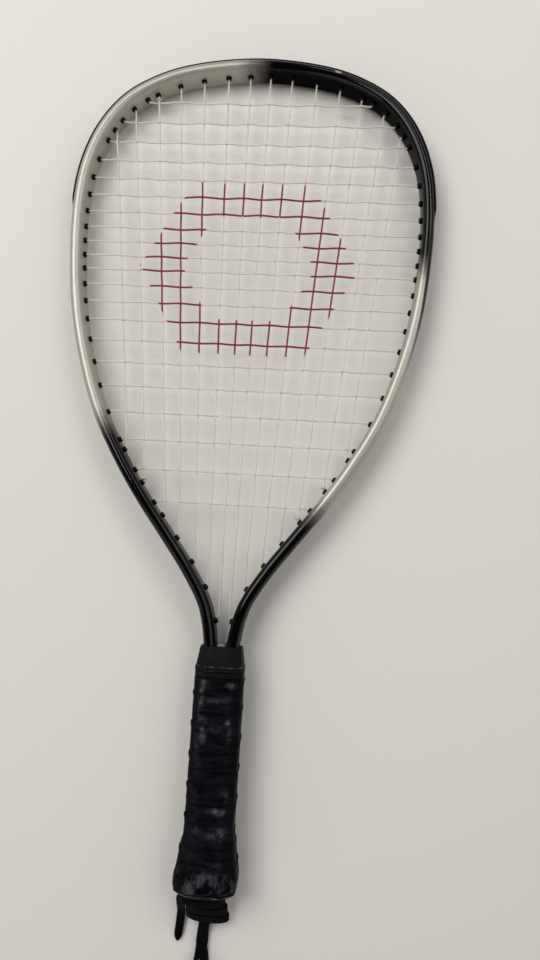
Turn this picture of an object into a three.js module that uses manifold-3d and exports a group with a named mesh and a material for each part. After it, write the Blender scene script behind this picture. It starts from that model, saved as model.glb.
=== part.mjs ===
// Racquetball racket: a bent aluminium loop strung with a main and a cross string, an octagonal
// wrapped handle and a webbing wrist strap. Millimetres. The racket lies face up on a surface,
// which is z = 0: +Y runs from the butt to the tip of the head, and X runs across the head.

import * as THREE from "three";
import { mergeVertices } from "three/addons/utils/BufferGeometryUtils.js";
import Module from "manifold-3d";

const wasm = await Module();
wasm.setup();

// Overall
const OVERALL_LENGTH = 558.8;
const HEAD_WIDTH = 252;
const HANDLE_LENGTH = 151.8;
const SEAT_GAP = 0.3; // between pieces that touch on the real racket
const WELD_DISTANCE = 1e-4; // points of one surface that are closer are one point
const SURFACE_GAP = 0.05; // between the strap and the surface
const CUT_OVERRUN = 4; // how far a cutting shape runs past what it cuts

// Frame tube
const TUBE_WIDTH = 7.8;
const TUBE_DEPTH = 19.5;
const TUBE_WALL = 1.3;
const THROAT_SPACING = 14.6; // between the two tubes' centres in the handle
const TUBE_TO_BUTT = 23.8; // from the tubes' ends to the racket's end
const GROOVE_WIDTH = 6.4; // string groove in the tube's outer wall
const GROOVE_DEPTH = 2.6;
const BEND_STEP_DEGREES = 12;
const LONGEST_STEP = 30;
const FINE_STEPS = 1000;
const ARC_STEPS = 4; // facets in each rounded edge of the tube

// Grommets and bumper guard
const BARREL_RADIUS = 1.6;
const BARREL_BORE_RADIUS = 1.05;
const BARREL_PROTRUSION = 1.4;
const BARREL_SIDES = 5;
const STRIP_THICKNESS = 0.7;
const BUMPER_THICKNESS = 0.9;
const BUMPER_WIDTH = 14;
const BUMPER_CHANNEL_WALL = 0.6;
const BUMPER_REACH_SHARE = 0.285; // of the loop's length, down from the tip

// Strings
const STRING_DIAMETER = 1.3;
const STRING_SIDES = 4;
const WEAVE_GAP = 0.3;
const GROOVE_GAP = 0.2; // under a string that lies on its strip
const MOUTH_BEND = 1; // from a barrel's end to the string's bend
const CORNER_RUN = 2; // from a string's turn into the groove to its lane
const LANE_RUN = 4.5; // from a hole to the string's lane
const LANE_RUN_SHARE = 0.45; // at most, of the way to the next hole
const TIE_LENGTH = 1.5;
const TIE_RADIUS = 2;
const TIE_SIDES = 6;
const TIE_END_SHARE = 0.8; // of its radius
const TIE_SETBACK = 0.5; // from the string's bend to its tie

// Crosses: the gap between neighbours is least at one place and grows from there to both ends. On
// each side of that place the gaps are then stretched together, so that the first cross lies just
// past a tie-off and the last one at its share of the loop.
const CROSS_COUNT = 21;
const TIGHTEST_CROSS = 9; // counted from 0 at the tip
const TIGHTEST_CROSS_GAP = 10;
const GAP_GROWTH_TO_TIP = 0.72;
const GAP_GROWTH_TO_THROAT = 1.1;
// Shares of the loop's length, down from the tip
const tightestCrossShare = 0.358;
const lastCrossShare = 0.777;

// Mains, from the centre outwards. At the head the first ones are placed by how far out they are,
// as a share of the half width, and the rest lie between the first crosses. At the throat the
// first ones are placed by shares of the way from the last cross to the handle, and the rest by
// shares of the gap between two of the last crosses.
const headShares = [0.057, 0.18, 0.319, 0.45, 0.575];
const headBetweenShares = [0.5, 0.5];
const throatShares = [0.825, 0.59, 0.417, 0.25, 0.09];
const throatBetweenShares = [0.38, 0.33];

// Half outline of the loop's centre line, from the tip to the handle: how far out, as a share of
// the way from the throat's spacing to the head's half width, and how far down the loop
const loopShares = [
  [0.36, 0.014],
  [0.575, 0.036],
  [0.75, 0.069],
  [0.885, 0.12],
  [0.97, 0.186],
  [1, 0.26],
  [0.99, 0.355],
  [0.945, 0.455],
  [0.86, 0.55],
  [0.755, 0.63],
  [0.61, 0.705],
  [0.465, 0.767],
  [0.305, 0.827],
  [0.15, 0.887],
  [0.045, 0.94],
];

// Handle
const GRIP_WIDTH = 31.2;
const GRIP_DEPTH = 27.2;
const GRIP_THICKNESS = 1.7;
const GRIP_FACET = 17.4; // width of the octagon's front and back facets
const COLLAR_LENGTH = 15.5;
const COLLAR_TOP_WIDTH = 26.4;
const COLLAR_TOP_DEPTH = 23.6;
const PLUG_DEPTH = 12;
const PLUG_LENGTH = 12;
const PLUG_RISE = 2;
const TAPE_LENGTH = 3.2; // finishing tape
const TAPE_THICKNESS = 0.35;

// Butt cap
const BUTT_WIDTH = 39.6;
const BUTT_DEPTH = 34.6;
const BUTT_CAP_LENGTH = 33;
const BUTT_END_WALL = 3.6;
const BUTT_CAVITY = 9.6; // between the shells' ends and the end wall
const BUTT_RIM_LENGTH = 5.5; // left bare by the grip
const BUTT_EDGE_WALL = 1.1;
const STRAP_SLOT_WIDTH = 8.4;
const STRAP_SLOT_HEIGHT = 3.8;

// Screws
const SHELL_SCREW_COUNT = 3;
const SHELL_SCREW_RADIUS = 1.4;
const SHELL_SCREW_HEAD_RADIUS = 2.6;
const SHELL_SCREW_HEAD_HEIGHT = 1.8;
const SHELL_SCREW_LENGTH = 18;
const BUTT_SCREW_RADIUS = 1;
const BUTT_SCREW_HEAD_RADIUS = 2.1;
const BUTT_SCREW_HEAD_HEIGHT = 1;
const BUTT_SCREW_LENGTH = 8;
const SCREW_SIDES = 8;

// Wrist strap: one length of flat webbing. It is knotted inside the butt cap, comes out of the
// slot, runs through its slip knot and out into the wrist loop, and comes back to the knot, which
// its other end is wound into.
const STRAP_WIDTH = 7;
const STRAP_THICKNESS = 1.8;
const STRAP_STEP = 7.5;
const STRAP_CORNER = 0.45;
const STRAP_TAIL_REACH = 37; // beyond the butt
const STEM_REACH = 38; // beyond the butt, where the two stretches of the loop part
const STEM_LOW_SHARE = 0.68; // of its reach, where the lower stretch lies down
const STEM_HIGH_SHARE = 0.78;
const LOOP_REACH = 148; // beyond the butt
const LOOP_HALF_WIDTH = 18;
const ANCHOR_RADIUS = 4;
const ANCHOR_LENGTH = 5;
const ANCHOR_END_SHARE = 0.7; // of its radius
const ANCHOR_SIDES = 8;

// Slip knot
const KNOT_TURNS = 2.5;
const KNOT_TURN_STEPS = 24;
const KNOT_STRAP_WIDTH = 5.5; // the webbing is pulled narrower in the knot
const KNOT_PITCH = 6.1;
const KNOT_HALF_WIDTH = 11.8; // to the webbing's middle
const KNOT_HALF_HEIGHT = 4.2;
const KNOT_SLOPE_DEGREES = 30;
const KNOT_SETBACK = 4.2; // from the butt to the last turn's middle
const KNOT_DROP = 3.3; // from the slot to the last turn's middle

// The wrist loop from the stem's end and back to it: shares of its half width and of its reach
// beyond the stem
const wristLoopShares = [
  [-0.22, 0.1],
  [-0.72, 0.25],
  [-1, 0.47],
  [-1, 0.75],
  [-0.67, 0.93],
  [0, 1],
  [0.67, 0.93],
  [1, 0.75],
  [1, 0.47],
  [0.72, 0.25],
  [0.25, 0.1],
];

// Worked out from the sizes above
const LOOP_LENGTH = OVERALL_LENGTH - HANDLE_LENGTH;
const TUBE_IN_HANDLE = HANDLE_LENGTH - TUBE_TO_BUTT;
const RIM = TUBE_WIDTH / 2 + BUMPER_THICKNESS + SEAT_GAP; // centre line to the racket's edge
const HALF_HEAD = HEAD_WIDTH / 2 - RIM;
const HALF_THROAT = THROAT_SPACING / 2;
const TIP_Y = OVERALL_LENGTH / 2;
const HANDLE_TOP_Y = TIP_Y - LOOP_LENGTH;
const BUTT_Y = -OVERALL_LENGTH / 2;
const GROOVE_FLOOR = TUBE_WIDTH / 2 - GROOVE_DEPTH;
const STRIP_BASE = GROOVE_FLOOR + SEAT_GAP;
const STRIP_TOP = STRIP_BASE + STRIP_THICKNESS;
const LANE_HEIGHT = STRIP_TOP + GROOVE_GAP + STRING_DIAMETER / 2;
const LANE_OFFSET = STRING_DIAMETER + WEAVE_GAP;
const MOUTH = TUBE_WIDTH / 2 + BARREL_PROTRUSION; // centre line to a barrel's inner end
const UP = new THREE.Vector3(0, 0, 1);

const materials = {
  frame: new THREE.MeshStandardMaterial({ color: 0xc9c3b8, roughness: 0.32, metalness: 0.7 }),
  plastic: new THREE.MeshStandardMaterial({ color: 0x17171a, roughness: 0.5, metalness: 0 }),
  mainString: new THREE.MeshStandardMaterial({ color: 0xe9e2d2, roughness: 0.4, metalness: 0 }),
  crossString: new THREE.MeshStandardMaterial({ color: 0xe4dccb, roughness: 0.4, metalness: 0 }),
  plug: new THREE.MeshStandardMaterial({ color: 0x8d8c88, roughness: 0.6, metalness: 0 }),
  shell: new THREE.MeshStandardMaterial({ color: 0x3a3a3c, roughness: 0.7, metalness: 0 }),
  grip: new THREE.MeshStandardMaterial({ color: 0x1e1d20, roughness: 0.8, metalness: 0 }),
  tape: new THREE.MeshStandardMaterial({ color: 0x101012, roughness: 0.45, metalness: 0 }),
  steel: new THREE.MeshStandardMaterial({ color: 0x9a9c9e, roughness: 0.35, metalness: 1 }),
  webbing: new THREE.MeshStandardMaterial({ color: 0x141416, roughness: 0.9, metalness: 0 }),
};

// A closed geometry as a solid that can be joined and cut
function solidOf(geometry) {
  const bare = geometry.clone();
  bare.deleteAttribute("normal");
  bare.deleteAttribute("uv");
  const merged = mergeVertices(bare, WELD_DISTANCE);
  return new wasm.Manifold(
    new wasm.Mesh({
      numProp: 3,
      vertProperties: Float32Array.from(merged.attributes.position.array),
      triVerts: Uint32Array.from(merged.index.array),
    }),
  );
}

// A solid back as a geometry
function geometryOf(solid) {
  const mesh = solid.getMesh();
  const geometry = new THREE.BufferGeometry();
  geometry.setAttribute("position", new THREE.BufferAttribute(mesh.vertProperties, 3));
  geometry.setIndex(new THREE.BufferAttribute(mesh.triVerts, 1));
  geometry.computeVertexNormals();
  return geometry;
}

// A named mesh of a solid or a geometry
function piece(name, shape, material) {
  const geometry = shape.isBufferGeometry ? shape : geometryOf(shape);
  const mesh = new THREE.Mesh(geometry, material.clone());
  mesh.name = name;
  return mesh;
}

// A closed body through rings of points that all have the same count, with flat convex ends.
// Seen from the first ring towards the last, each ring turns clockwise.
function loft(rings) {
  const sides = rings[0].length;
  const positions = rings.flat().flatMap((p) => [p.x, p.y, p.z]);
  const index = [];
  for (let r = 0; r + 1 < rings.length; r++) {
    for (let i = 0; i < sides; i++) {
      const a = r * sides + i;
      const b = r * sides + ((i + 1) % sides);
      index.push(a, b, a + sides, b, b + sides, a + sides);
    }
  }
  const last = (rings.length - 1) * sides;
  for (let i = 1; i + 1 < sides; i++) {
    index.push(0, i + 1, i, last, last + i, last + i + 1);
  }
  const geometry = new THREE.BufferGeometry();
  geometry.setAttribute("position", new THREE.Float32BufferAttribute(positions, 3));
  geometry.setIndex(index);
  geometry.computeVertexNormals();
  return geometry;
}

// A cylinder from one point to another
function rod(from, to, radius, sides) {
  const along = to.clone().sub(from);
  const geometry = new THREE.CylinderGeometry(radius, radius, along.length(), sides);
  geometry.applyQuaternion(
    new THREE.Quaternion().setFromUnitVectors(new THREE.Vector3(0, 1, 0), along.normalize()),
  );
  const middle = from.clone().add(to).multiplyScalar(0.5);
  return geometry.translate(middle.x, middle.y, middle.z);
}

// Points across the racket (x), down from the tip and up from the string plane
function place(across, down, up = 0) {
  return new THREE.Vector3(across, TIP_Y - down, up);
}

// The loop's centre line, from the left tube's end in the handle over the tip to the right one's
function loopCurve() {
  const half = loopShares.map(([out, down]) =>
    place(HALF_THROAT + out * (HALF_HEAD - HALF_THROAT), RIM + down * (LOOP_LENGTH - RIM)),
  );
  const inHandle = [0, COLLAR_LENGTH, TUBE_IN_HANDLE];
  half.push(...inHandle.map((down) => place(HALF_THROAT, LOOP_LENGTH + down)));
  const mirrored = half.map((p) => new THREE.Vector3(-p.x, p.y, p.z)).reverse();
  return new THREE.CatmullRomCurve3([...mirrored, place(0, RIM), ...half], false, "centripetal");
}

// The centre line as straight steps, short where it bends, laid out from the tip to the right
// end and mirrored. Each station has its point, its heading, the direction out of the loop and
// its distance along the line.
function layOutStations() {
  const curve = loopCurve();
  const fine = Array.from({ length: FINE_STEPS + 1 }, (_, i) => {
    return curve.getPointAt((1 + i / FINE_STEPS) / 2);
  });
  const heading = (i) => fine[i + 1].clone().sub(fine[i]).normalize();
  const picked = [0];
  for (let i = 1; i + 1 < fine.length; i++) {
    const start = picked[picked.length - 1];
    const turned = THREE.MathUtils.radToDeg(heading(start).angleTo(heading(i)));
    const far = fine[i].distanceTo(fine[start]) > LONGEST_STEP;
    if (turned > BEND_STEP_DEGREES || far) picked.push(i);
  }
  picked.push(fine.length - 1);
  const right = picked.map((i) => fine[i]);
  const left = right.slice(1).map((p) => new THREE.Vector3(-p.x, p.y, p.z));
  const points = [...left.reverse(), ...right];
  let distance = 0;
  return points.map((point, i) => {
    const before = points[Math.max(i - 1, 0)];
    const after = points[Math.min(i + 1, points.length - 1)];
    const tangent = after.clone().sub(before).normalize();
    distance += point.distanceTo(before);
    return { point, tangent, outward: UP.clone().cross(tangent), distance };
  });
}

const stations = layOutStations();
const TIP_DISTANCE = stations[stations.length - 1].distance / 2;

// The point, heading and outward direction at a distance along the centre line
function stationAt(distance) {
  const next = stations.findIndex((s) => s.distance >= distance);
  const a = stations[Math.max(next - 1, 0)];
  const b = stations[Math.max(next, 1)];
  const t = (distance - a.distance) / (b.distance - a.distance);
  return {
    point: a.point.clone().lerp(b.point, t),
    tangent: a.tangent.clone().lerp(b.tangent, t).normalize(),
    outward: a.outward.clone().lerp(b.outward, t).normalize(),
    distance,
  };
}

// The stations as a path that a section is extruded along: x of the section points out of the
// loop and y up
class StationPath extends THREE.Curve {
  constructor(list) {
    super();
    this.list = list;
  }
  getPoint(t) {
    return this.list[Math.round(t * (this.list.length - 1))].point.clone();
  }
  getSpacedPoints() {
    return this.list.map((s) => s.point.clone());
  }
  computeFrenetFrames() {
    return {
      tangents: this.list.map((s) => s.tangent),
      normals: this.list.map((s) => s.outward),
      binormals: this.list.map(() => UP),
    };
  }
}

function sweep(section, list) {
  return new THREE.ExtrudeGeometry(new THREE.Shape(section), {
    steps: list.length - 1,
    bevelEnabled: false,
    extrudePath: new StationPath(list),
  });
}

// Half-round edges of a flattened tube: its section's points from one side's arc
function edgeArc(radius, rise, sign, steps) {
  const arc = [];
  for (let i = 0; i <= steps; i++) {
    const angle = (Math.PI * i) / steps;
    arc.push(new THREE.Vector2(sign * radius * Math.cos(angle), sign * (rise + radius * Math.sin(angle))));
  }
  return arc;
}

// The tube's section, its wall set out or in by a margin
function tubeSection(margin) {
  const radius = TUBE_WIDTH / 2 + margin;
  const rise = (TUBE_DEPTH - TUBE_WIDTH) / 2;
  return [...edgeArc(radius, rise, 1, ARC_STEPS), ...edgeArc(radius, rise, -1, ARC_STEPS)];
}

// The tube's section with the string groove in its outer wall
function groovedSection() {
  const groove = [
    [TUBE_WIDTH / 2, -GROOVE_WIDTH / 2],
    [GROOVE_FLOOR, -GROOVE_WIDTH / 2],
    [GROOVE_FLOOR, GROOVE_WIDTH / 2],
    [TUBE_WIDTH / 2, GROOVE_WIDTH / 2],
  ].map(([x, y]) => new THREE.Vector2(x, y));
  return [...tubeSection(0), ...groove];
}

// The tube's hollow: flat sided, between the inner wall and the groove's wall
function hollowSection() {
  const inner = TUBE_WALL - TUBE_WIDTH / 2;
  const outer = GROOVE_FLOOR - TUBE_WALL;
  const top = TUBE_DEPTH / 2 - TUBE_WALL;
  const shoulder = top - (outer - inner) / 2;
  const right = [
    [outer, -shoulder],
    [outer, shoulder],
  ];
  const left = [
    [inner, shoulder],
    [inner, -shoulder],
  ];
  const middle = (inner + outer) / 2;
  const outline = [...right, [middle, top], ...left, [middle, -top]];
  return outline.map(([x, y]) => new THREE.Vector2(x, y));
}

// A string's hole: where it crosses the frame's centre line
function holeWhere(low, high, isPast) {
  while (high - low > WELD_DISTANCE) {
    const middle = (low + high) / 2;
    const s = stationAt(middle);
    const mouth = s.point.clone().addScaledVector(s.outward, -MOUTH);
    if (isPast(mouth)) high = middle;
    else low = middle;
  }
  return stationAt(low);
}

function mirrored(station) {
  return stationAt(2 * TIP_DISTANCE - station.distance);
}

const WIDEST_DISTANCE = stations.reduce((a, b) => (b.point.x > a.point.x ? b : a)).distance;
const THROAT_DISTANCE = stations[stations.length - 1].distance - TUBE_IN_HANDLE;

function downFromTip(mouth) {
  return TIP_Y - mouth.y;
}

// The mains' holes at the head that are placed by how far out their mouths are, on the right
const nearHeadHoles = headShares.map((share) => {
  const out = (share * HEAD_WIDTH) / 2;
  return holeWhere(TIP_DISTANCE, WIDEST_DISTANCE, (mouth) => mouth.x > out);
});

// How far down the first cross lies: just past the tie-off on the outermost of these mains
function firstCrossPlace() {
  const bend = mouthTurn(nearHeadHoles[nearHeadHoles.length - 1]);
  return downFromTip(bend) + TIE_SETBACK + TIE_LENGTH + WEAVE_GAP + STRING_DIAMETER / 2;
}

// How far down the loop each cross lies
function crossPlaces() {
  const offsets = Array(CROSS_COUNT).fill(0); // from the tightest cross
  for (let i = TIGHTEST_CROSS - 1; i >= 0; i--) {
    offsets[i] = offsets[i + 1] - TIGHTEST_CROSS_GAP - GAP_GROWTH_TO_TIP * (TIGHTEST_CROSS - 1 - i);
  }
  for (let i = TIGHTEST_CROSS + 1; i < CROSS_COUNT; i++) {
    offsets[i] = offsets[i - 1] + TIGHTEST_CROSS_GAP + GAP_GROWTH_TO_THROAT * (i - TIGHTEST_CROSS - 1);
  }
  const tightest = tightestCrossShare * LOOP_LENGTH;
  const toTip = (tightest - firstCrossPlace()) / -offsets[0];
  const toThroat = (lastCrossShare * LOOP_LENGTH - tightest) / offsets[CROSS_COUNT - 1];
  return offsets.map((offset) => tightest + offset * (offset < 0 ? toTip : toThroat));
}

// Each cross's two holes
const crossDowns = crossPlaces();
const crossHoles = crossDowns.map((down) => {
  const right = holeWhere(TIP_DISTANCE, THROAT_DISTANCE, (mouth) => downFromTip(mouth) > down);
  return { left: mirrored(right), right };
});

// The mains' holes at the head, on the right, from the centre outwards
function headHoles() {
  const rest = headBetweenShares.map((share, i) => {
    const [a, b] = [crossHoles[i].right.distance, crossHoles[i + 1].right.distance];
    return stationAt(a + share * (b - a));
  });
  return [...nearHeadHoles, ...rest];
}

// The mains' holes at the throat, on the right, from the centre outwards
function throatHoles() {
  const last = crossDowns[CROSS_COUNT - 1];
  const downs = throatShares.map((share) => last + share * (LOOP_LENGTH - last));
  throatBetweenShares.forEach((share, i) => {
    const [a, b] = crossDowns.slice(CROSS_COUNT - 2 - i);
    downs.push(a + share * (b - a));
  });
  return downs.map((down) =>
    holeWhere(WIDEST_DISTANCE, THROAT_DISTANCE, (mouth) => downFromTip(mouth) > down),
  );
}

// Each main's head and throat hole, from left to right
const rightThroats = throatHoles();
const rightMains = headHoles().map((head, i) => ({ head, throat: rightThroats[i] }));
const leftMains = rightMains.map((m) => ({ head: mirrored(m.head), throat: mirrored(m.throat) }));
const mainHoles = [...leftMains.reverse(), ...rightMains];
const allHoles = [
  ...mainHoles.flatMap((m) => [m.head, m.throat]),
  ...crossHoles.flatMap((c) => [c.left, c.right]),
];

// A rod through the frame at a hole, between two heights out of the centre line
function acrossFrame(hole, from, to, radius) {
  const a = hole.point.clone().addScaledVector(hole.outward, from);
  const b = hole.point.clone().addScaledVector(hole.outward, to);
  return solidOf(rod(a, b, radius, BARREL_SIDES));
}

function frameTube() {
  const reach = TUBE_WIDTH / 2 + CUT_OVERRUN;
  const ends = [stations[0], stations[stations.length - 1]];
  const longer = stations.map((s) => {
    if (!ends.includes(s)) return s;
    return { ...s, point: s.point.clone().addScaledVector(new THREE.Vector3(0, -1, 0), CUT_OVERRUN) };
  });
  let tube = solidOf(sweep(groovedSection(), stations));
  tube = tube.subtract(solidOf(sweep(hollowSection(), longer)));
  const hole = BARREL_RADIUS + SEAT_GAP / Math.cos(Math.PI / BARREL_SIDES);
  for (const h of allHoles) {
    tube = tube.subtract(acrossFrame(h, -reach, reach, hole));
  }
  return piece("frame_tube", tube, materials.frame);
}

// A strip with a barrel for each of its holes
function withBarrels(strip, holes) {
  const middle = (STRIP_BASE + STRIP_TOP) / 2;
  let solid = strip;
  for (const h of holes) {
    solid = solid.add(acrossFrame(h, -MOUTH, middle, BARREL_RADIUS));
  }
  for (const h of holes) {
    const bore = acrossFrame(h, -MOUTH - CUT_OVERRUN, STRIP_TOP + CUT_OVERRUN, BARREL_BORE_RADIUS);
    solid = solid.subtract(bore);
  }
  return solid;
}

// The stations between two distances, with one at each end
function stretch(from, to) {
  const inside = stations.filter((s) => s.distance > from && s.distance < to);
  return [stationAt(from), ...inside, stationAt(to)];
}

const BUMPER_REACH = BUMPER_REACH_SHARE * LOOP_LENGTH;
const BUMPER_END = holeWhere(
  TIP_DISTANCE,
  THROAT_DISTANCE,
  (mouth) => downFromTip(mouth) > BUMPER_REACH,
).distance;

function bumperGuard() {
  const channel = GROOVE_WIDTH / 2 - SEAT_GAP - BUMPER_CHANNEL_WALL;
  const wall = GROOVE_WIDTH / 2 - SEAT_GAP;
  const seat = TUBE_WIDTH / 2 + SEAT_GAP;
  const top = seat + BUMPER_THICKNESS;
  const half = [
    [STRIP_BASE, wall],
    [seat, wall],
    [seat, BUMPER_WIDTH / 2],
    [top, BUMPER_WIDTH / 2 - BUMPER_THICKNESS / 2],
    [top, channel],
    [STRIP_TOP, channel],
  ];
  const outline = [...half.map(([x, y]) => [x, -y]), ...half.reverse()];
  const section = outline.map(([x, y]) => new THREE.Vector2(x, y));
  const low = 2 * TIP_DISTANCE - BUMPER_END;
  const strip = solidOf(sweep(section, stretch(low, BUMPER_END)));
  const holes = allHoles.filter((h) => h.distance > low && h.distance < BUMPER_END);
  return piece("bumper_guard", withBarrels(strip, holes), materials.plastic);
}

// The strip on one lower side, from the bumper guard's end to past the last hole
function grommetStrip(name, side) {
  const half = GROOVE_WIDTH / 2 - SEAT_GAP;
  const section = [
    [STRIP_BASE, -half],
    [STRIP_TOP, -half],
    [STRIP_TOP, half],
    [STRIP_BASE, half],
  ].map(([x, y]) => new THREE.Vector2(x, y));
  const start = BUMPER_END + SEAT_GAP;
  const holes = allHoles.filter((h) => h.distance > start);
  const end = Math.max(...holes.map((h) => h.distance)) + 2 * GROOVE_WIDTH;
  const right = stretch(start, end);
  const flip = (s) => stationAt(2 * TIP_DISTANCE - s.distance);
  const list = side > 0 ? right : right.map(flip).reverse();
  const itsHoles = side > 0 ? holes : holes.map(flip);
  return piece(name, withBarrels(solidOf(sweep(section, list)), itsHoles), materials.plastic);
}

// A round string through a list of points, bent at each in the plane between its two stretches
function stringThrough(points) {
  const heading = (i) => points[i + 1].clone().sub(points[i]).normalize();
  const first = heading(0);
  const side = UP.clone().cross(first).normalize();
  const over = first.clone().cross(side);
  let offsets = [];
  for (let i = 0; i < STRING_SIDES; i++) {
    const angle = (2 * Math.PI * i) / STRING_SIDES;
    const across = side.clone().multiplyScalar(Math.cos(angle)).addScaledVector(over, Math.sin(angle));
    offsets.push(across.multiplyScalar(STRING_DIAMETER / 2));
  }
  const rings = [offsets.map((o) => points[0].clone().add(o))];
  for (let i = 1; i < points.length; i++) {
    const along = heading(i - 1);
    const next = i + 1 < points.length ? heading(i) : along;
    const cut = along.clone().add(next).normalize();
    const slide = (o) => o.clone().addScaledVector(along, -o.dot(cut) / along.dot(cut));
    const ring = offsets.map(slide);
    rings.push(ring.map((o) => points[i].clone().add(o)));
    offsets = ring.map((o) => o.clone().addScaledVector(next, -o.dot(next)));
  }
  return loft(rings);
}

// Where a string turns: in its groove, and just inside the mouth of its grommet
function grooveTurn(hole) {
  return hole.point.clone().addScaledVector(hole.outward, LANE_HEIGHT);
}
function mouthTurn(hole) {
  return hole.point.clone().addScaledVector(hole.outward, -MOUTH - MOUTH_BEND);
}

// A point in one of the groove's two lanes
function inLane(distance, lane) {
  const s = stationAt(distance);
  return s.point.clone().addScaledVector(s.outward, LANE_HEIGHT).addScaledVector(UP, lane * LANE_OFFSET);
}

// The lane's points between two distances
function alongLane(start, end, lane) {
  const way = Math.sign(end - start);
  const between = stations
    .map((s) => s.distance)
    .filter((d) => (d - start) * way > 0 && (end - d) * way > 0)
    .sort((a, b) => (a - b) * way);
  return [start, ...between, end].map((d) => inLane(d, lane));
}

// How far from a hole its string is in its lane, where the next hole may be close
function laneRun(from, to) {
  return Math.min(LANE_RUN, LANE_RUN_SHARE * Math.abs(to.distance - from.distance));
}

// The stretch outside the frame from one hole to another, in one lane
function link(from, to, lane) {
  const way = Math.sign(to.distance - from.distance);
  const run = way * laneRun(from, to);
  const turnOut = inLane(from.distance + way * CORNER_RUN, 0);
  const turnIn = inLane(to.distance - way * CORNER_RUN, 0);
  const between = alongLane(from.distance + run, to.distance - run, lane);
  return [grooveTurn(from), turnOut, ...between, turnIn, grooveTurn(to)];
}

// The loose end outside the frame, in its lane, up to a neighbouring hole
function tail(from, to, lane) {
  const way = Math.sign(to.distance - from.distance);
  const run = way * laneRun(from, to);
  const turnOut = inLane(from.distance + way * CORNER_RUN, 0);
  const free = alongLane(from.distance + run, to.distance - way * CORNER_RUN, lane);
  return [grooveTurn(from), turnOut, ...free];
}

// Where a cross passes each main, with its height: over and under in turn
function crossings(crossIndex) {
  const { left, right } = crossHoles[crossIndex];
  const a = mouthTurn(left);
  const b = mouthTurn(right);
  const points = [];
  mainHoles.forEach((main, mainIndex) => {
    const head = mouthTurn(main.head);
    const throat = mouthTurn(main.throat);
    const t = (head.y - a.y) / (head.y - throat.y);
    const x = head.x + t * (throat.x - head.x);
    const inside = t > 0 && t < 1 && x > a.x && x < b.x;
    const up = (mainIndex + crossIndex) % 2 ? 1 : -1;
    if (inside) points.push(new THREE.Vector3(x, a.y, up * (STRING_DIAMETER + WEAVE_GAP)));
  });
  return points;
}

function mainString() {
  const last = mainHoles.length - 1;
  const points = tail(mainHoles[0].throat, mainHoles[1].throat, 1).reverse();
  mainHoles.forEach((main, i) => {
    const goesUp = i % 2 === 0;
    const [from, to] = goesUp ? [main.throat, main.head] : [main.head, main.throat];
    points.push(mouthTurn(from), mouthTurn(to));
    if (i === last) return;
    const next = goesUp ? mainHoles[i + 1].head : mainHoles[i + 1].throat;
    points.push(...link(to, next, 1));
  });
  points.push(...tail(mainHoles[last].throat, mainHoles[last - 1].throat, 1));
  return piece("main_string", stringThrough(points), materials.mainString);
}

// The mains that the cross string is tied to: its start on the left, its end on the right
const crossTieStart = mainHoles[headBetweenShares.length];
const crossTieEnd = mainHoles[mainHoles.length - 1 - headBetweenShares.length];

function crossString() {
  const last = CROSS_COUNT - 1;
  const points = tail(crossHoles[0].left, crossTieStart.head, -1).reverse();
  crossHoles.forEach((cross, i) => {
    const goesRight = i % 2 === 0;
    const run = [mouthTurn(cross.left), ...crossings(i), mouthTurn(cross.right)];
    points.push(...(goesRight ? run : run.reverse()));
    if (i === last) return;
    const [here, next] = goesRight
      ? [cross.right, crossHoles[i + 1].right]
      : [cross.left, crossHoles[i + 1].left];
    points.push(...link(here, next, -1));
  });
  points.push(...tail(crossHoles[last].right, crossTieEnd.throat, -1));
  return piece("cross_string", stringThrough(points), materials.crossString);
}

// A bead whose middle is thicker than its ends, along +Y, with or without a bore
function bead(radius, endRadius, length, sides, bore) {
  const half = length / 2;
  const profile = [
    [bore, -half],
    [endRadius, -half],
    [radius, 0],
    [endRadius, half],
    [bore, half],
  ];
  if (bore > 0) profile.push(profile[0]);
  return new THREE.LatheGeometry(profile.map(([x, y]) => new THREE.Vector2(x, y)), sides);
}

// A tie-off: string drawn tight round a main, just inside its grommet
function stringTie(name, main, atHead, material) {
  const near = mouthTurn(atHead ? main.head : main.throat);
  const far = mouthTurn(atHead ? main.throat : main.head);
  const along = far.clone().sub(near).normalize();
  const bore = STRING_DIAMETER / 2 + SEAT_GAP;
  const geometry = bead(TIE_RADIUS, TIE_RADIUS * TIE_END_SHARE, TIE_LENGTH, TIE_SIDES, bore);
  geometry.applyQuaternion(new THREE.Quaternion().setFromUnitVectors(new THREE.Vector3(0, 1, 0), along));
  const centre = near.addScaledVector(along, TIE_SETBACK + TIE_LENGTH / 2);
  geometry.translate(centre.x, centre.y, centre.z);
  return piece(name, solidOf(geometry), material);
}

// An octagon across the handle, at a distance down from the tip
function octagon(width, depth, down) {
  const facet = (GRIP_FACET / GRIP_WIDTH) * width / 2;
  const sideFacet = (GRIP_FACET / GRIP_WIDTH) * depth / 2;
  const corners = [
    [width / 2, sideFacet],
    [facet, depth / 2],
    [-facet, depth / 2],
    [-width / 2, sideFacet],
    [-width / 2, -sideFacet],
    [-facet, -depth / 2],
    [facet, -depth / 2],
    [width / 2, -sideFacet],
  ];
  return corners.map(([x, z]) => place(x, down, z));
}

// An octagonal body through [down, width, depth] rows, from the tip's side to the butt's
function octagonal(rows) {
  return solidOf(loft(rows.map(([down, width, depth]) => octagon(width, depth, down))));
}

// The frame's two tubes with a margin, to cut what they pass through
function tubesWithMargin() {
  const low = stations.filter((s) => downFromTip(s.point) < LOOP_LENGTH - HALF_THROAT);
  const first = stations.indexOf(low[0]);
  const leftLeg = stations.slice(0, first + 1);
  const rightLeg = stations.slice(stations.length - 1 - first);
  const cut = (leg) => solidOf(sweep(tubeSection(SEAT_GAP), leg));
  return cut(leftLeg).add(cut(rightLeg));
}

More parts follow.
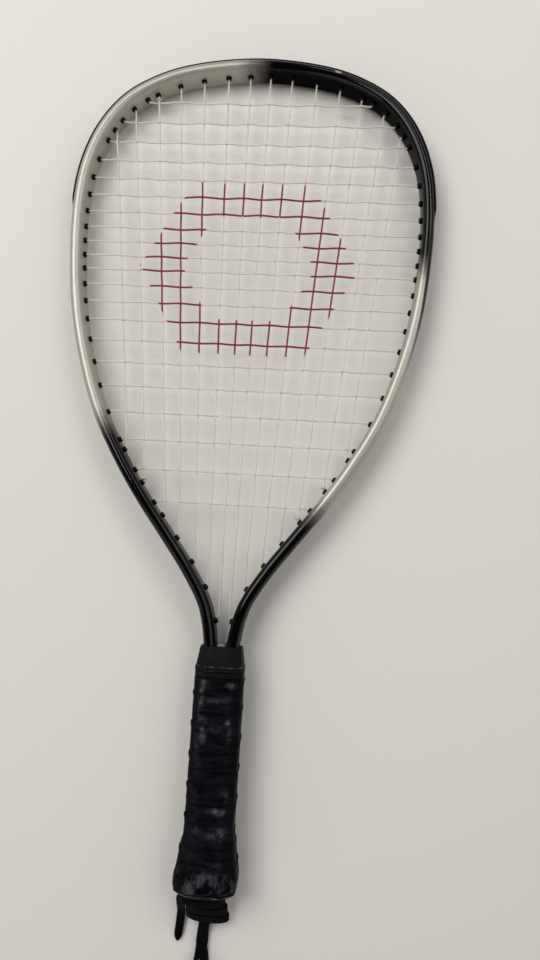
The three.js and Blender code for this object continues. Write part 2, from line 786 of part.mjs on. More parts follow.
const tubeCutter = tubesWithMargin();
const COLLAR_END = LOOP_LENGTH + COLLAR_LENGTH;
const TAPE_START = COLLAR_END + SEAT_GAP;
const GRIP_START = TAPE_START + TAPE_LENGTH + SEAT_GAP;
const SHELL_WIDTH = GRIP_WIDTH - 2 * (GRIP_THICKNESS + SEAT_GAP);
const SHELL_DEPTH = GRIP_DEPTH - 2 * (GRIP_THICKNESS + SEAT_GAP);
const SHELL_END = OVERALL_LENGTH - BUTT_END_WALL - BUTT_CAVITY;
const BUTT_CAP_START = OVERALL_LENGTH - BUTT_CAP_LENGTH;
const GRIP_END = OVERALL_LENGTH - BUTT_RIM_LENGTH;
const PLUG_WIDTH = THROAT_SPACING - TUBE_WIDTH - 2 * SEAT_GAP;

// The butt cap's outside, without the grip: [down, width, depth] from its thin edge to its end
const flareShares = [
  [0, 0],
  [0.2, 0.2],
  [0.38, 0.52],
  [0.56, 0.87],
  [0.68, 1],
  [0.82, 1],
];
const BUTT_EDGE = 2 * (BUTT_EDGE_WALL + SEAT_GAP);
function buttCapRows() {
  const fullWidth = BUTT_WIDTH - 2 * (GRIP_THICKNESS + SEAT_GAP);
  const fullDepth = BUTT_DEPTH - 2 * (GRIP_THICKNESS + SEAT_GAP);
  const startWidth = SHELL_WIDTH + BUTT_EDGE;
  const startDepth = SHELL_DEPTH + BUTT_EDGE;
  return flareShares.map(([down, out]) => [
    BUTT_CAP_START + down * BUTT_CAP_LENGTH,
    startWidth + out * (fullWidth - startWidth),
    startDepth + out * (fullDepth - startDepth),
  ]);
}

function gripCollar() {
  const body = octagonal([
    [LOOP_LENGTH, COLLAR_TOP_WIDTH, COLLAR_TOP_DEPTH],
    [COLLAR_END, GRIP_WIDTH, GRIP_DEPTH],
  ]);
  const plugHole = new THREE.BoxGeometry(
    THROAT_SPACING - TUBE_WIDTH,
    PLUG_LENGTH + CUT_OVERRUN,
    PLUG_DEPTH + 2 * SEAT_GAP,
  );
  const end = LOOP_LENGTH + PLUG_LENGTH - PLUG_RISE + SEAT_GAP;
  plugHole.translate(0, TIP_Y - end + (PLUG_LENGTH + CUT_OVERRUN) / 2, 0);
  const collar = body.subtract(tubeCutter).subtract(solidOf(plugHole));
  return piece("grip_collar", collar, materials.plastic);
}

// The plug's rounded top: shares of its half width, and of its rise down from the top
const plugCrownShares = [
  [1, 0.6],
  [0.85, 0.43],
  [0.45, 0.12],
  [0, 0],
  [-0.45, 0.12],
  [-0.85, 0.43],
  [-1, 0.6],
];

// The plug between the tubes, with a rounded top that shows above the collar
function throatPlug() {
  const shape = new THREE.Shape();
  const half = PLUG_WIDTH / 2;
  const top = PLUG_RISE;
  const bottom = PLUG_RISE - PLUG_LENGTH;
  shape.moveTo(half, bottom);
  plugCrownShares.forEach(([out, drop]) => shape.lineTo(out * half, top - drop * PLUG_RISE));
  shape.lineTo(-half, bottom);
  const geometry = new THREE.ExtrudeGeometry(shape, { depth: PLUG_DEPTH, bevelEnabled: false });
  geometry.translate(0, HANDLE_TOP_Y, -PLUG_DEPTH / 2);
  return piece("throat_plug", solidOf(geometry), materials.plug);
}

// Where the screws that hold the shells together lie, down from the tip
function shellScrewPlaces() {
  const start = GRIP_START + 2 * SHELL_SCREW_LENGTH;
  const end = BUTT_CAP_START - SHELL_SCREW_LENGTH;
  const step = (end - start) / (SHELL_SCREW_COUNT - 1);
  return Array.from({ length: SHELL_SCREW_COUNT }, (_, i) => start + i * step);
}

// A screw with its head's top at a point, pointing along a direction
function screw(headTop, along, radius, headRadius, headHeight, length) {
  const neck = headTop.clone().addScaledVector(along, headHeight);
  const lap = headTop.clone().addScaledVector(along, headHeight / 2);
  const tip = headTop.clone().addScaledVector(along, length);
  const head = solidOf(rod(headTop, neck, headRadius, SCREW_SIDES));
  return head.add(solidOf(rod(lap, tip, radius, SCREW_SIDES)));
}

function shellScrew(down, gap) {
  const along = new THREE.Vector3(0, 0, -1);
  const headTop = place(0, down, SHELL_DEPTH / 2 - SEAT_GAP + gap);
  return screw(
    headTop,
    along,
    SHELL_SCREW_RADIUS + gap,
    SHELL_SCREW_HEAD_RADIUS + gap,
    SHELL_SCREW_HEAD_HEIGHT + 2 * gap,
    SHELL_SCREW_LENGTH + 2 * gap,
  );
}

const BUTT_SCREW_DOWN = SHELL_END - 2 * BUTT_SCREW_HEAD_RADIUS;

// How wide the butt cap is at a distance down, along its outside rows
function buttCapWidthAt(down) {
  const rows = buttCapRows();
  const next = rows.findIndex((row) => row[0] >= down);
  const [a, b] = [rows[next - 1], rows[next]];
  return a[1] + ((b[1] - a[1]) * (down - a[0])) / (b[0] - a[0]);
}

function buttScrew(side, gap) {
  const along = new THREE.Vector3(-side, 0, 0);
  const sink = BUTT_SCREW_HEAD_HEIGHT;
  const headTop = place(side * (buttCapWidthAt(BUTT_SCREW_DOWN) / 2 - sink + gap), BUTT_SCREW_DOWN);
  return screw(
    headTop,
    along,
    BUTT_SCREW_RADIUS + gap,
    BUTT_SCREW_HEAD_RADIUS + gap,
    BUTT_SCREW_HEAD_HEIGHT + 2 * gap,
    BUTT_SCREW_LENGTH + 2 * gap,
  );
}

// The well above a butt screw's head, out to the butt cap's outside
function buttScrewWell(side) {
  const out = buttCapWidthAt(BUTT_SCREW_DOWN) / 2;
  const from = place(side * (out - BUTT_SCREW_HEAD_HEIGHT), BUTT_SCREW_DOWN);
  const to = place(side * (out + CUT_OVERRUN), BUTT_SCREW_DOWN);
  return solidOf(rod(from, to, BUTT_SCREW_HEAD_RADIUS + SEAT_GAP, SCREW_SIDES));
}

// One half of the handle's core: front is above the string plane, back below
function handleShell(name, side) {
  let shell = octagonal([
    [TAPE_START, SHELL_WIDTH, SHELL_DEPTH],
    [SHELL_END, SHELL_WIDTH, SHELL_DEPTH],
  ]);
  shell = shell.subtract(tubeCutter);
  const length = OVERALL_LENGTH;
  const half = new THREE.BoxGeometry(GRIP_WIDTH, length, GRIP_DEPTH);
  half.translate(0, BUTT_Y + length / 2, side * (GRIP_DEPTH / 2 + SEAT_GAP / 2));
  shell = shell.intersect(solidOf(half));
  for (const down of shellScrewPlaces()) {
    shell = shell.subtract(shellScrew(down, SEAT_GAP));
    if (side > 0) {
      const top = place(0, down, SHELL_DEPTH / 2 + CUT_OVERRUN);
      const seat = place(0, down, SHELL_DEPTH / 2 - SEAT_GAP);
      shell = shell.subtract(solidOf(rod(top, seat, SHELL_SCREW_HEAD_RADIUS + SEAT_GAP, SCREW_SIDES)));
    }
  }
  for (const way of [1, -1]) {
    shell = shell.subtract(buttScrew(way, SEAT_GAP));
  }
  return piece(name, shell, materials.shell);
}

function buttCap() {
  const rows = buttCapRows();
  const [, width, depth] = rows[rows.length - 1];
  const rim = [
    [GRIP_END + SEAT_GAP, width, depth],
    [GRIP_END + SEAT_GAP, width + 2 * GRIP_THICKNESS, depth + 2 * GRIP_THICKNESS],
    [OVERALL_LENGTH - BUTT_RIM_LENGTH / 3, width + GRIP_THICKNESS, depth + GRIP_THICKNESS],
    [OVERALL_LENGTH, width - BUTT_RIM_LENGTH, depth - BUTT_RIM_LENGTH],
  ];
  let cap = octagonal([...rows, ...rim]);
  const inside = [SHELL_WIDTH + 2 * SEAT_GAP, SHELL_DEPTH + 2 * SEAT_GAP];
  cap = cap.subtract(
    octagonal([
      [BUTT_CAP_START - CUT_OVERRUN, ...inside],
      [OVERALL_LENGTH - BUTT_END_WALL, ...inside],
    ]),
  );
  const slot = new THREE.BoxGeometry(
    STRAP_SLOT_WIDTH,
    BUTT_END_WALL + 2 * CUT_OVERRUN,
    STRAP_SLOT_HEIGHT,
  ).translate(0, BUTT_Y, 0);
  cap = cap.subtract(solidOf(slot));
  for (const way of [1, -1]) {
    cap = cap.subtract(buttScrew(way, SEAT_GAP)).subtract(buttScrewWell(way));
  }
  return piece("butt_cap", cap, materials.plastic);
}

function finishingTape() {
  const outer = [GRIP_WIDTH - 2 * TAPE_THICKNESS, GRIP_DEPTH - 2 * TAPE_THICKNESS];
  const inner = [SHELL_WIDTH + 2 * SEAT_GAP, SHELL_DEPTH + 2 * SEAT_GAP];
  const end = TAPE_START + TAPE_LENGTH;
  const band = octagonal([
    [TAPE_START, ...outer],
    [end, ...outer],
  ]);
  const bore = octagonal([
    [TAPE_START - CUT_OVERRUN, ...inner],
    [end + CUT_OVERRUN, ...inner],
  ]);
  return piece("finishing_tape", band.subtract(bore), materials.tape);
}

// The grip's outside or inside, from its top edge over the flare to its lower edge
function gripRows(margin) {
  const flare = buttCapRows().map(([down, width, depth]) => [down, width + 2 * margin, depth + 2 * margin]);
  const straight = [GRIP_START, SHELL_WIDTH + 2 * margin, SHELL_DEPTH + 2 * margin];
  const shoulder = [BUTT_CAP_START - SEAT_GAP, ...straight.slice(1)];
  const [, width, depth] = flare[flare.length - 1];
  return [straight, shoulder, ...flare, [GRIP_END, width, depth]];
}

function gripTape() {
  const outer = octagonal(gripRows(SEAT_GAP + GRIP_THICKNESS));
  const rows = gripRows(SEAT_GAP);
  const [first, last] = [rows[0], rows[rows.length - 1]];
  const inner = octagonal([
    [first[0] - CUT_OVERRUN, first[1], first[2]],
    ...rows,
    [last[0] + CUT_OVERRUN, last[1], last[2]],
  ]);
  return piece("grip_tape", outer.subtract(inner), materials.grip);
}

function racket() {
  const group = new THREE.Group();
  group.add(frameTube(), bumperGuard());
  group.add(grommetStrip("grommet_strip_left", -1), grommetStrip("grommet_strip_right", 1));
  group.add(mainString(), crossString());
  group.add(stringTie("main_tie_start", mainHoles[1], false, materials.mainString));
  group.add(stringTie("main_tie_end", mainHoles[mainHoles.length - 2], false, materials.mainString));
  group.add(stringTie("cross_tie_start", crossTieStart, true, materials.crossString));
  group.add(stringTie("cross_tie_end", crossTieEnd, false, materials.crossString));
  group.add(gripCollar(), throatPlug());
  group.add(handleShell("handle_front_shell", 1), handleShell("handle_back_shell", -1));
  shellScrewPlaces().forEach((down, i) => {
    group.add(piece("handle_screw_" + (i + 1), shellScrew(down, 0), materials.steel));
  });
  group.add(finishingTape(), gripTape(), buttCap());
  group.add(piece("butt_screw_right", buttScrew(1, 0), materials.steel));
  group.add(piece("butt_screw_left", buttScrew(-1, 0), materials.steel));
  return group;
}

// The racket lies on the butt's flare and the tip of the head, with its middle at x = y = 0
function placed(group) {
  const flare = BUTT_Y + BUTT_CAP_LENGTH * (1 - flareShares[flareShares.length - 1][0]);
  group.rotation.x = -Math.atan((BUTT_DEPTH - TUBE_DEPTH) / 2 / (TIP_Y - RIM - flare));
  group.updateMatrixWorld(true);
  const box = new THREE.Box3().setFromObject(group, true);
  group.position.set(-(box.min.x + box.max.x) / 2, -(box.min.y + box.max.y) / 2, -box.min.z);
  group.updateMatrixWorld(true);
  return group;
}

// Flat webbing's section, with its corners cut: in the knot its edges come to a point
function webbingSection(width, corner) {
  const [edge, face] = [width / 2, STRAP_THICKNESS / 2];
  const half = [
    [edge, -face + corner],
    [edge, face - corner],
    [edge - corner, face],
    [corner - edge, face],
  ];
  const points = [...half, ...half.map(([w, t]) => [-w, -t])];
  return points.filter(([w, t], i) => i === 0 || w !== points[i - 1][0] || t !== points[i - 1][1]);
}

// Flat webbing through a list of points, each with the direction of the webbing's width
function webbingRings(points, across, section) {
  return points.map((point, i) => {
    const before = points[Math.max(i - 1, 0)];
    const after = points[Math.min(i + 1, points.length - 1)];
    const along = after.clone().sub(before).normalize();
    const side = across[i].clone().addScaledVector(along, -across[i].dot(along)).normalize();
    const up = along.clone().cross(side);
    return section.map(([w, t]) => point.clone().addScaledVector(side, w).addScaledVector(up, t));
  });
}

// Webbing along a smooth curve, level where its roll is 0 or -2 and on edge where it is -1. The
// rolls follow the curve's places. It nowhere reaches below the surface.
function webbingAlong(places, rolls, width) {
  const curve = new THREE.CatmullRomCurve3(places, false, "centripetal");
  const steps = Math.round(curve.getLength() / STRAP_STEP);
  const points = [];
  const across = [];
  for (let i = 0; i <= steps; i++) {
    const t = curve.getUtoTmapping(i / steps) * (places.length - 1);
    const before = Math.min(Math.floor(t), places.length - 2);
    const roll = THREE.MathUtils.lerp(rolls[before], rolls[before + 1], t - before) * (Math.PI / 2);
    const rise = Math.abs(Math.sin(roll) * width) / 2 + Math.abs(Math.cos(roll) * STRAP_THICKNESS) / 2;
    const along = curve.getTangentAt(i / steps);
    const level = UP.clone().cross(along).normalize();
    const upright = along.clone().cross(level);
    const point = curve.getPointAt(i / steps);
    point.z = Math.max(point.z, rise + SURFACE_GAP);
    points.push(point);
    across.push(level.multiplyScalar(Math.cos(roll)).addScaledVector(upright, Math.sin(roll)));
  }
  return loft(webbingRings(points, across, webbingSection(width, STRAP_CORNER)));
}

// The slip knot's axis slopes down from the butt to the surface: where it lies `along` it and
// `out` on its upper side
const KNOT_SLOPE = THREE.MathUtils.degToRad(KNOT_SLOPE_DEGREES);
const KNOT_AXIS = new THREE.Vector3(0, -Math.cos(KNOT_SLOPE), -Math.sin(KNOT_SLOPE));
const KNOT_UPPER = new THREE.Vector3(0, -Math.sin(KNOT_SLOPE), Math.cos(KNOT_SLOPE));
function inKnot(slot, along, out) {
  const point = slot.clone().add(new THREE.Vector3(0, -KNOT_SETBACK, -KNOT_DROP));
  return point.addScaledVector(KNOT_AXIS, along).addScaledVector(KNOT_UPPER, out);
}

// The turns of the slip knot, from the lowest one's underside up to the last one's upper side,
// with a straight end at both
function knotPoints(slot) {
  const steps = KNOT_TURNS * KNOT_TURN_STEPS;
  const turns = Array.from({ length: steps + 1 }, (_, i) => {
    const angle = (2 * Math.PI * i) / KNOT_TURN_STEPS - Math.PI / 2;
    const along = (KNOT_PITCH * (steps - i)) / KNOT_TURN_STEPS;
    const point = inKnot(slot, along, KNOT_HALF_HEIGHT * Math.sin(angle));
    point.x += KNOT_HALF_WIDTH * Math.cos(angle);
    return point;
  });
  const straight = (from, to) => {
    const way = from.clone().sub(to).normalize();
    return from.clone().addScaledVector(way, KNOT_STRAP_WIDTH);
  };
  const last = turns.length - 1;
  return [straight(turns[0], turns[1]), ...turns, straight(turns[last], turns[last - 1])];
}

// The least gap between points on two stretches of a winding that are over half a turn apart
function leastGap(rings) {
  let least = Infinity;
  for (let i = 0; i < rings.length; i++) {
    for (let j = i + KNOT_TURN_STEPS / 2; j < rings.length; j++) {
      for (const a of rings[i]) {
        for (const b of rings[j]) least = Math.min(least, a.distanceTo(b));
      }
    }
  }
  return least;
}

// The knot that keeps the strap in the butt cap
function strapAnchor(butt, slot) {
  const shape = bead(ANCHOR_RADIUS, ANCHOR_RADIUS * ANCHOR_END_SHARE, ANCHOR_LENGTH, ANCHOR_SIDES, 0);
  shape.translate(0, butt + BUTT_END_WALL + SEAT_GAP + ANCHOR_LENGTH / 2, slot.z);
  return piece("strap_anchor", solidOf(shape), materials.webbing);
}

function strap(butt, slot) {
  const group = new THREE.Group();
  const half = STRAP_THICKNESS / 2;
  const low = half + SURFACE_GAP;
  const high = low + STRAP_THICKNESS + SEAT_GAP;
  const edge = STRAP_WIDTH / 2 + SURFACE_GAP;
  const lean = half + SEAT_GAP / 2; // each stretch's place off the knot's axis
  const knotEnd = KNOT_PITCH * KNOT_TURNS;
  const at = (across, beyond, up) => new THREE.Vector3(across, butt - beyond, up);
  const knot = (across, along, out) => inKnot(slot, along, out).setX(across);
  const same = (list, roll) => list.map(() => roll);

  const turns = knotPoints(slot);
  const rings = webbingRings(turns, same(turns, KNOT_AXIS), webbingSection(KNOT_STRAP_WIDTH, half));
  console.log("strap_knot least gap to itself: " + leastGap(rings).toFixed(2) + " mm");

  const out = [
    at(0, -BUTT_END_WALL, slot.z),
    at(0, SEAT_GAP, slot.z),
    knot(0, 0, lean),
    knot(0, knotEnd / 2, -lean / 4),
    knot(0, knotEnd, -lean),
    at(0, STEM_REACH * STEM_LOW_SHARE, low),
    at(0, STEM_REACH, low),
  ];
  const loop = wristLoopShares.map(([across, beyond]) =>
    at(across * LOOP_HALF_WIDTH, STEM_REACH + beyond * (LOOP_REACH - STEM_REACH), edge),
  );
  const back = [
    at(0, STEM_REACH, high),
    at(0, STEM_REACH * STEM_HIGH_SHARE, high),
    knot(0, knotEnd, lean),
    knot(0, knotEnd / 2, 2 * lean - SEAT_GAP),
  ];
  const rolls = [...same(out, 0), ...same(loop, -1), ...same(back, -2)];

  // The free end, from the last turn over its shoulder and down beside the knot
  const last = turns[turns.length - 1];
  const way = last.clone().sub(turns[turns.length - 2]).normalize();
  const start = last.clone().addScaledVector(way, SEAT_GAP);
  const beside = -(KNOT_HALF_WIDTH + half + 2 * SEAT_GAP + KNOT_STRAP_WIDTH / 2);
  const tail = [
    start,
    knot(beside * 0.72, -1, KNOT_HALF_HEIGHT * 0.8),
    knot(beside * 0.95, 0, KNOT_HALF_HEIGHT * 0.2),
    knot(beside, knotEnd / 2, -half),
    knot(beside, knotEnd, -STRAP_THICKNESS),
    at(beside, STRAP_TAIL_REACH, low),
  ];
  const slope = -KNOT_SLOPE_DEGREES / 90;
  const tailRolls = [slope, slope / 2, 0, 0, 0, 0];

  group.add(strapAnchor(butt, slot));
  const wrist = webbingAlong([...out, ...loop, ...back], rolls, STRAP_WIDTH);
  group.add(piece("strap_loop", wrist, materials.webbing));
  group.add(piece("strap_knot", loft(rings), materials.webbing));
  const free = webbingAlong(tail, tailRolls, KNOT_STRAP_WIDTH);
  group.add(piece("strap_tail", free, materials.webbing));
  return group;
}

const assembly = new THREE.Group();
assembly.name = "racquetball_racket";
const body = placed(racket());
const slot = place(0, OVERALL_LENGTH).applyMatrix4(body.matrixWorld);
assembly.add(body, strap(slot.y, slot));

export default assembly;
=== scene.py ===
# Racquetball racket, seen from above: a painted aluminium loop strung with a main and a cross
# string, a wrapped octagonal handle and a webbing wrist strap. Most shapes are laid out in the
# racket's own frame, in millimetres: x across the head, y from the butt to the tip, z up from the
# string plane. The function world() takes them to the row frame, in metres.

import math

import bmesh
import bpy
import numpy as np
from mathutils import Matrix, Vector

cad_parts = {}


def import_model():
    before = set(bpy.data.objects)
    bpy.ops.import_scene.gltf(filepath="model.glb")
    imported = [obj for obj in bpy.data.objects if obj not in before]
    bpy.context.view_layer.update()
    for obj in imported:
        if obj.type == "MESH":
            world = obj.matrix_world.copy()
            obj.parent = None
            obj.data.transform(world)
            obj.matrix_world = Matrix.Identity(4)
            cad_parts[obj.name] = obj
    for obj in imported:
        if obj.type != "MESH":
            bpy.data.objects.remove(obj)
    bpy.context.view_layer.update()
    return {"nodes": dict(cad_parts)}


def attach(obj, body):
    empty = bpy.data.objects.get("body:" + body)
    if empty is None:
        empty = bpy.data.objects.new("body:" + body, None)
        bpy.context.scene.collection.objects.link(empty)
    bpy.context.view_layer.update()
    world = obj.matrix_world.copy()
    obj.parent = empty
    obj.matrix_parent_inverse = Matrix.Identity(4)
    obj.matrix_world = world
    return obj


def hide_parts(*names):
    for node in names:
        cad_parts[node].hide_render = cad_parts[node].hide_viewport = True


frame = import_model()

MM = 0.001

# The racket's place: its tilt about X, and its shift up the row and off the surface
TILT = 0.013782536
SHIFT = (0, 0.041346, 13.593176)

# Overall
OVERALL_LENGTH = 558.8
HEAD_WIDTH = 252
HANDLE_LENGTH = 151.8
SEAT_GAP = 0.3

# Frame tube
TUBE_WIDTH = 7.8
TUBE_DEPTH = 19.5
THROAT_SPACING = 14.6
TUBE_TO_BUTT = 23.8
GROOVE_WIDTH = 6.4
GROOVE_DEPTH = 2.6
GROOVE_LIP = 0.35
LINE_STEP = 0.5
LINE_CURVE_STEPS = 60
TUBE_STEP = 2.5
ARC_STEPS = 14

# Half outline of the loop's centre line, from the tip to the handle
LOOP_SHARES = [
    (0.36, 0.014), (0.575, 0.036), (0.75, 0.069), (0.885, 0.12), (0.97, 0.186),
    (1, 0.26), (0.99, 0.355), (0.945, 0.455), (0.86, 0.55), (0.755, 0.63),
    (0.61, 0.705), (0.465, 0.767), (0.305, 0.827), (0.15, 0.887), (0.045, 0.94),
]

# Paint on the frame, by its distance from the tip along the line: the right side is positive
TOP_FADE = -3
RIGHT_FADE = 224
LOWER_RIGHT_FADE = 407
LOWER_LEFT_FADE = -345
OUTER_REACH = 58  # how much further black the right side's outer wall is
OUTER_START = 0.6
OUTER_BLEND = 3
OUTER_EASE = 0.4
OUTER_EASE_BLEND = 2
SPRAY_FADE = 26
SPRAY_GRAIN = 13
SPRAY_CLOUD = 6
SPRAY_POWER = 0.55
SHOULDER = 2

# A chip in the black paint: along the line, out, up, its length and width, and how deep it goes
CHIP = (55, 1.2, 9.5, 2.2, 0.9, 170)

# Grommets and bumper guard
BARREL_RADIUS = 1.55
BARREL_LIP = 2
BARREL_LIP_LENGTH = 1.1
BARREL_BEVEL = 0.2
BARREL_FLARE = 0.5
BARREL_BORE = 0.9
BARREL_PROTRUSION = 1.4
BARREL_SIDES = 14
STRIP_THICKNESS = 0.7
STRIP_SEAT = 0.05
STRIP_SIDE_GAP = 0.1
STRIP_OVERRUN = 12.8
BUMPER_SEAT = 0.02
BUMPER_THICKNESS = 0.9
BUMPER_WIDTH = 15.2
BUMPER_BULGE = 0.1
BUMPER_EDGE = [(0.2, 0.4), (0, 1.3)]  # down from its top, in from its side
BUMPER_CHANNEL_WALL = 0.6
BUMPER_CHANNEL_EDGE = [(0, 0.8), (0.3, 0.2)]  # down from its top, out from the channel
BUMPER_TAPER = 9
BUMPER_THINNING = 0.8
BUMPER_NARROWING = 0.2
BUMPER_REACH_SHARE = 0.285
# How much paler the guard is near the tip, and over what length: scuffing, with a painted highlight
# along its top
TIP_RUB_AND_HIGHLIGHT = 0.3
TIP_RUB_AND_HIGHLIGHT_REACH = 75

# Strings
STRING_DIAMETER = 1.3
STRING_SIDES = 10
MAIN_WAVE = 0.49
CROSS_WAVE = 0.82
WAVE_STEPS = 7
GROOVE_GAP = 0.2
MOUTH_BEND = 1
CORNER_RUN = 2
LANE_RUN = 4.5
LANE_RUN_SHARE = 0.45
LANE_OFFSET = 1.6
LANE_STEP = 3
TIE_SETBACK = 0.5
TIE_LENGTH = 1.5
TIE_TURNS = 1.6
TIE_STEPS = 40
TIE_RADIUS = 1.235
TIE_STRING_RADIUS = 0.598
CROSS_COUNT = 21
TIGHTEST_CROSS = 9
TIGHTEST_CROSS_GAP = 10
GAP_GROWTH_TO_TIP = 0.72
GAP_GROWTH_TO_THROAT = 1.1
WEAVE_GAP = 0.3
TIGHTEST_CROSS_SHARE = 0.358
LAST_CROSS_SHARE = 0.777
HEAD_SHARES = [0.057, 0.18, 0.319, 0.45, 0.575]
HEAD_BETWEEN_SHARES = [0.5, 0.5]
THROAT_SHARES = [0.825, 0.59, 0.417, 0.25, 0.09]
THROAT_BETWEEN_SHARES = [0.38, 0.33]

# Motif stencilled on the strings: a wide hexagonal ring. Ink is in millimetres inside its edge.
MOTIF_DOWN = 152
MOTIF_HALF_WIDTH = 76
MOTIF_HALF_HEIGHT = 62
MOTIF_POINT = 0.45
MOTIF_BAND = 25
NO_INK = -3
FULL_INK = 2
INKED_HEIGHT = 2

# Handle: pairs are a width and a depth
GRIP = np.array([31.2, 27.2])
GRIP_THICKNESS = 1.7
GRIP_FACET = 17.4
GRIP_CORNER = 2.2
CORNER_STEPS = 4
FACET_SHARES = (0.2, 0.4, 0.6, 0.8)
GRIP_STEP = 0.8
GRIP_SMOOTHING = 9
GRIP_SINK = 0.15
GRIP_ROUNDING = 2.2
GRIP_LIP = 1.6
GRIP_LINING = 0.5
FLARE_LINING = 0.4
FLARE_LEAD = 4
WRAP_PITCH = 18.5
WRAP_STEP = 0.6
WRAP_EDGE = 0.7
WRAP_SEAM = 2.2
WRAP_FALL = 3.5
WRAP_DIP = 0.3
WRAP_DIP_WIDTHS = (0.9, 0.6)
GATHER_START = 538.5
GATHER_BLEND = 3.5
PLEATS = ((31, 5), (19, -4))  # how many round the grip, and how far they sway
PLEAT_DEPTH = 0.42
SWAY_SCALE = 0.16
SWAY_STRETCH = np.array([1, 0.3, 1])
UNEVENNESS = ((0.16, 0.22, 1), (0.1, 0.7, 2))  # height, scale and seed
GATHER_UNEVENNESS = 1.6
RUMPLE_WAVES = [
    (1.7, 2.3, 1.1), (-2.9, 1.3, 2.2), (1.1, -3.1, 2.7), (3.7, 2.1, -1.9), (-1.3, 4.3, 3.1),
]
RUMPLE_SHIFT = 1.7
EDGE_WEAR = 0.07
RIM_WEAR = 0.3
WEAR_WIDTH = 1.6
RIM_WEAR_BLEND = 1.4
FRONT_RISE = 8
COLLAR_LENGTH = 15.5
COLLAR_TOP = np.array([26.4, 23.6])
COLLAR_CORNER = 1.1
COLLAR_STEP = 3.2
PLUG_DEPTH = 12
PLUG_RISE = 1.4
PLUG_SIDES = 32
PLUG_SQUARENESS = 0.35
PLUG_ROWS = [(0, 0.35), (0.25, 0.7), (0.7, 0.9), (1.3, 1), (12.6, 1)]  # down, share of its width
TAPE_LENGTH = 3.2
TAPE_THICKNESS = 0.35
TAPE_EDGE = 0.25
TAPE_CROWN = 0.3
TAPE_LINING = 0.4
TAPE_CORNER = 1.6

# The collar's rows: down from its top, narrower and paleness; and down from its step, narrower,
# shallower and paleness. The pale rows are painted highlights along the collar's edges.
COLLAR_TOP_ROWS = [(0.15, 1.6, 0.1), (0.24, 0.48, 0.45), (0.8, 0, 0.1)]
COLLAR_STEP_ROWS = [
    (-0.4, 1.3, 1.1, 0.1), (-0.1, 0.6, 0.5, 0.66), (0.3, 0.4, 0.3, 0.66), (0.7, 0.3, 0.3, 0.1),
    (2.7, 0.05, 0.05, 0.5), (3.1, 0.5, 0.5, 0.5), (3.2, 1.4, 1.4, 0),
]

# Rubbed patches on the grip's front: across, down, half width, half height, strength
GRIP_SCUFFS = [
    (-8.8, 428.6, 1.5, 2.2, 1.1), (-8.6, 433.6, 1.7, 1.5, 1.2), (-9.4, 445, 1.7, 7, 0.75),
    (-7.6, 460, 2.4, 7, 0.6), (-10.6, 466, 1.3, 8, 0.6), (9.2, 430.5, 2.2, 1.8, 0.8),
    (8.6, 452.4, 1.6, 1.7, 1.2), (10, 460.6, 1.2, 3.2, 1), (9.6, 497, 2, 2.4, 0.75),
    (6.5, 505.6, 6, 2, 0.8), (6, 518.6, 5.5, 3.2, 0.9), (-6.6, 517, 2.4, 3, 0.4),
    (1, 440, 7, 2, 0.35), (0, 456, 7, 2.5, 0.35), (5.5, 535.5, 4.5, 0.9, 0.8),
]

# Butt cap. Its dome's rows: up from the racket's end, how far out, and how much paler.
BUTT = np.array([39.6, 34.6])
BUTT_CAP_LENGTH = 33
BUTT_END_WALL = 3.6
BUTT_RIM_LENGTH = 5.5
BUTT_RIM_START = 0.1
BUTT_EDGE_WALL = 1.1
FLARE_SHARES = [(0, 0), (0.2, 0.2), (0.38, 0.52), (0.56, 0.87), (0.68, 1), (0.82, 1)]
DOME_ROWS = [
    (5.35, 1.2, 0.4), (4.9, 1.4, 0.62), (4.3, 1.1, 0.3), (3.4, 0.1, 0),
    (2.2, -2.2, 0), (1.2, -4.2, 0), (0.4, -6, 0), (0, -7.2, 0),
]
STRAP_SLOT = np.array([8.4, 3.8])
SLOT_MOUTH = 1
SLOT_EDGE = 0.5
SLOT_SQUARENESS = 0.4
SLOT_LAYOUT = (20, 20)

# Wrist strap
STRAP_WIDTH = 7
STRAP_THICKNESS = 1.8
STRAP_STEP = 1.6
STRAP_RIBS = 5
RIB_DEPTH = 0.14
EDGE_POWER = 6
THINNEST_EDGE = 0.05
BAND_STEPS = 24
JOIN_STEPS = 6
SURFACE_GAP = 0.05
STRAP_TAIL_REACH = 37
TAIL_WIDTH = 5.4
TAIL_ROUNDING = 6
TAIL_BLUNTNESS = 0.92
TAIL_BEND = [(0.72, -1, 0.8), (0.95, 0, 0.2)]  # share of its place beside the knot, along, up
STEM_REACH = 38
STEM_LEAN = 1.7
STEM_LOW_SHARE = 0.68
STEM_HIGH_SHARE = 0.78
LOOP_REACH = 148
LOOP_HALF_WIDTH = 18
WRIST_LOOP_SHARES = [
    (-0.22, 0.1), (-0.72, 0.25), (-1, 0.47), (-1, 0.75), (-0.67, 0.93), (0, 1),
    (0.67, 0.93), (1, 0.75), (1, 0.47), (0.72, 0.25), (0.25, 0.1),
]
KNOT_TURNS = 2.5
KNOT_TURN_STEPS = 24
KNOT_STRAP_WIDTH = 6.3
KNOT_PITCH = 6.6
KNOT_HALF_WIDTH = 11.8
KNOT_HALF_HEIGHT = 4.2
KNOT_SLOPE = math.radians(30)
KNOT_EAR = 2.6
KNOT_FAN = 2
KNOT_FAN_RISE = 1.4
KNOT_SETBACK = 4.2
KNOT_DROP = 3.3
ANCHOR_RADIUS = 2.9
ANCHOR_TURNS = 2.2
ANCHOR_STEPS = 60
ANCHOR_SETBACK = 1
ANCHOR_ADVANCE = 3
ANCHOR_STRAP_WIDTH = 2.4

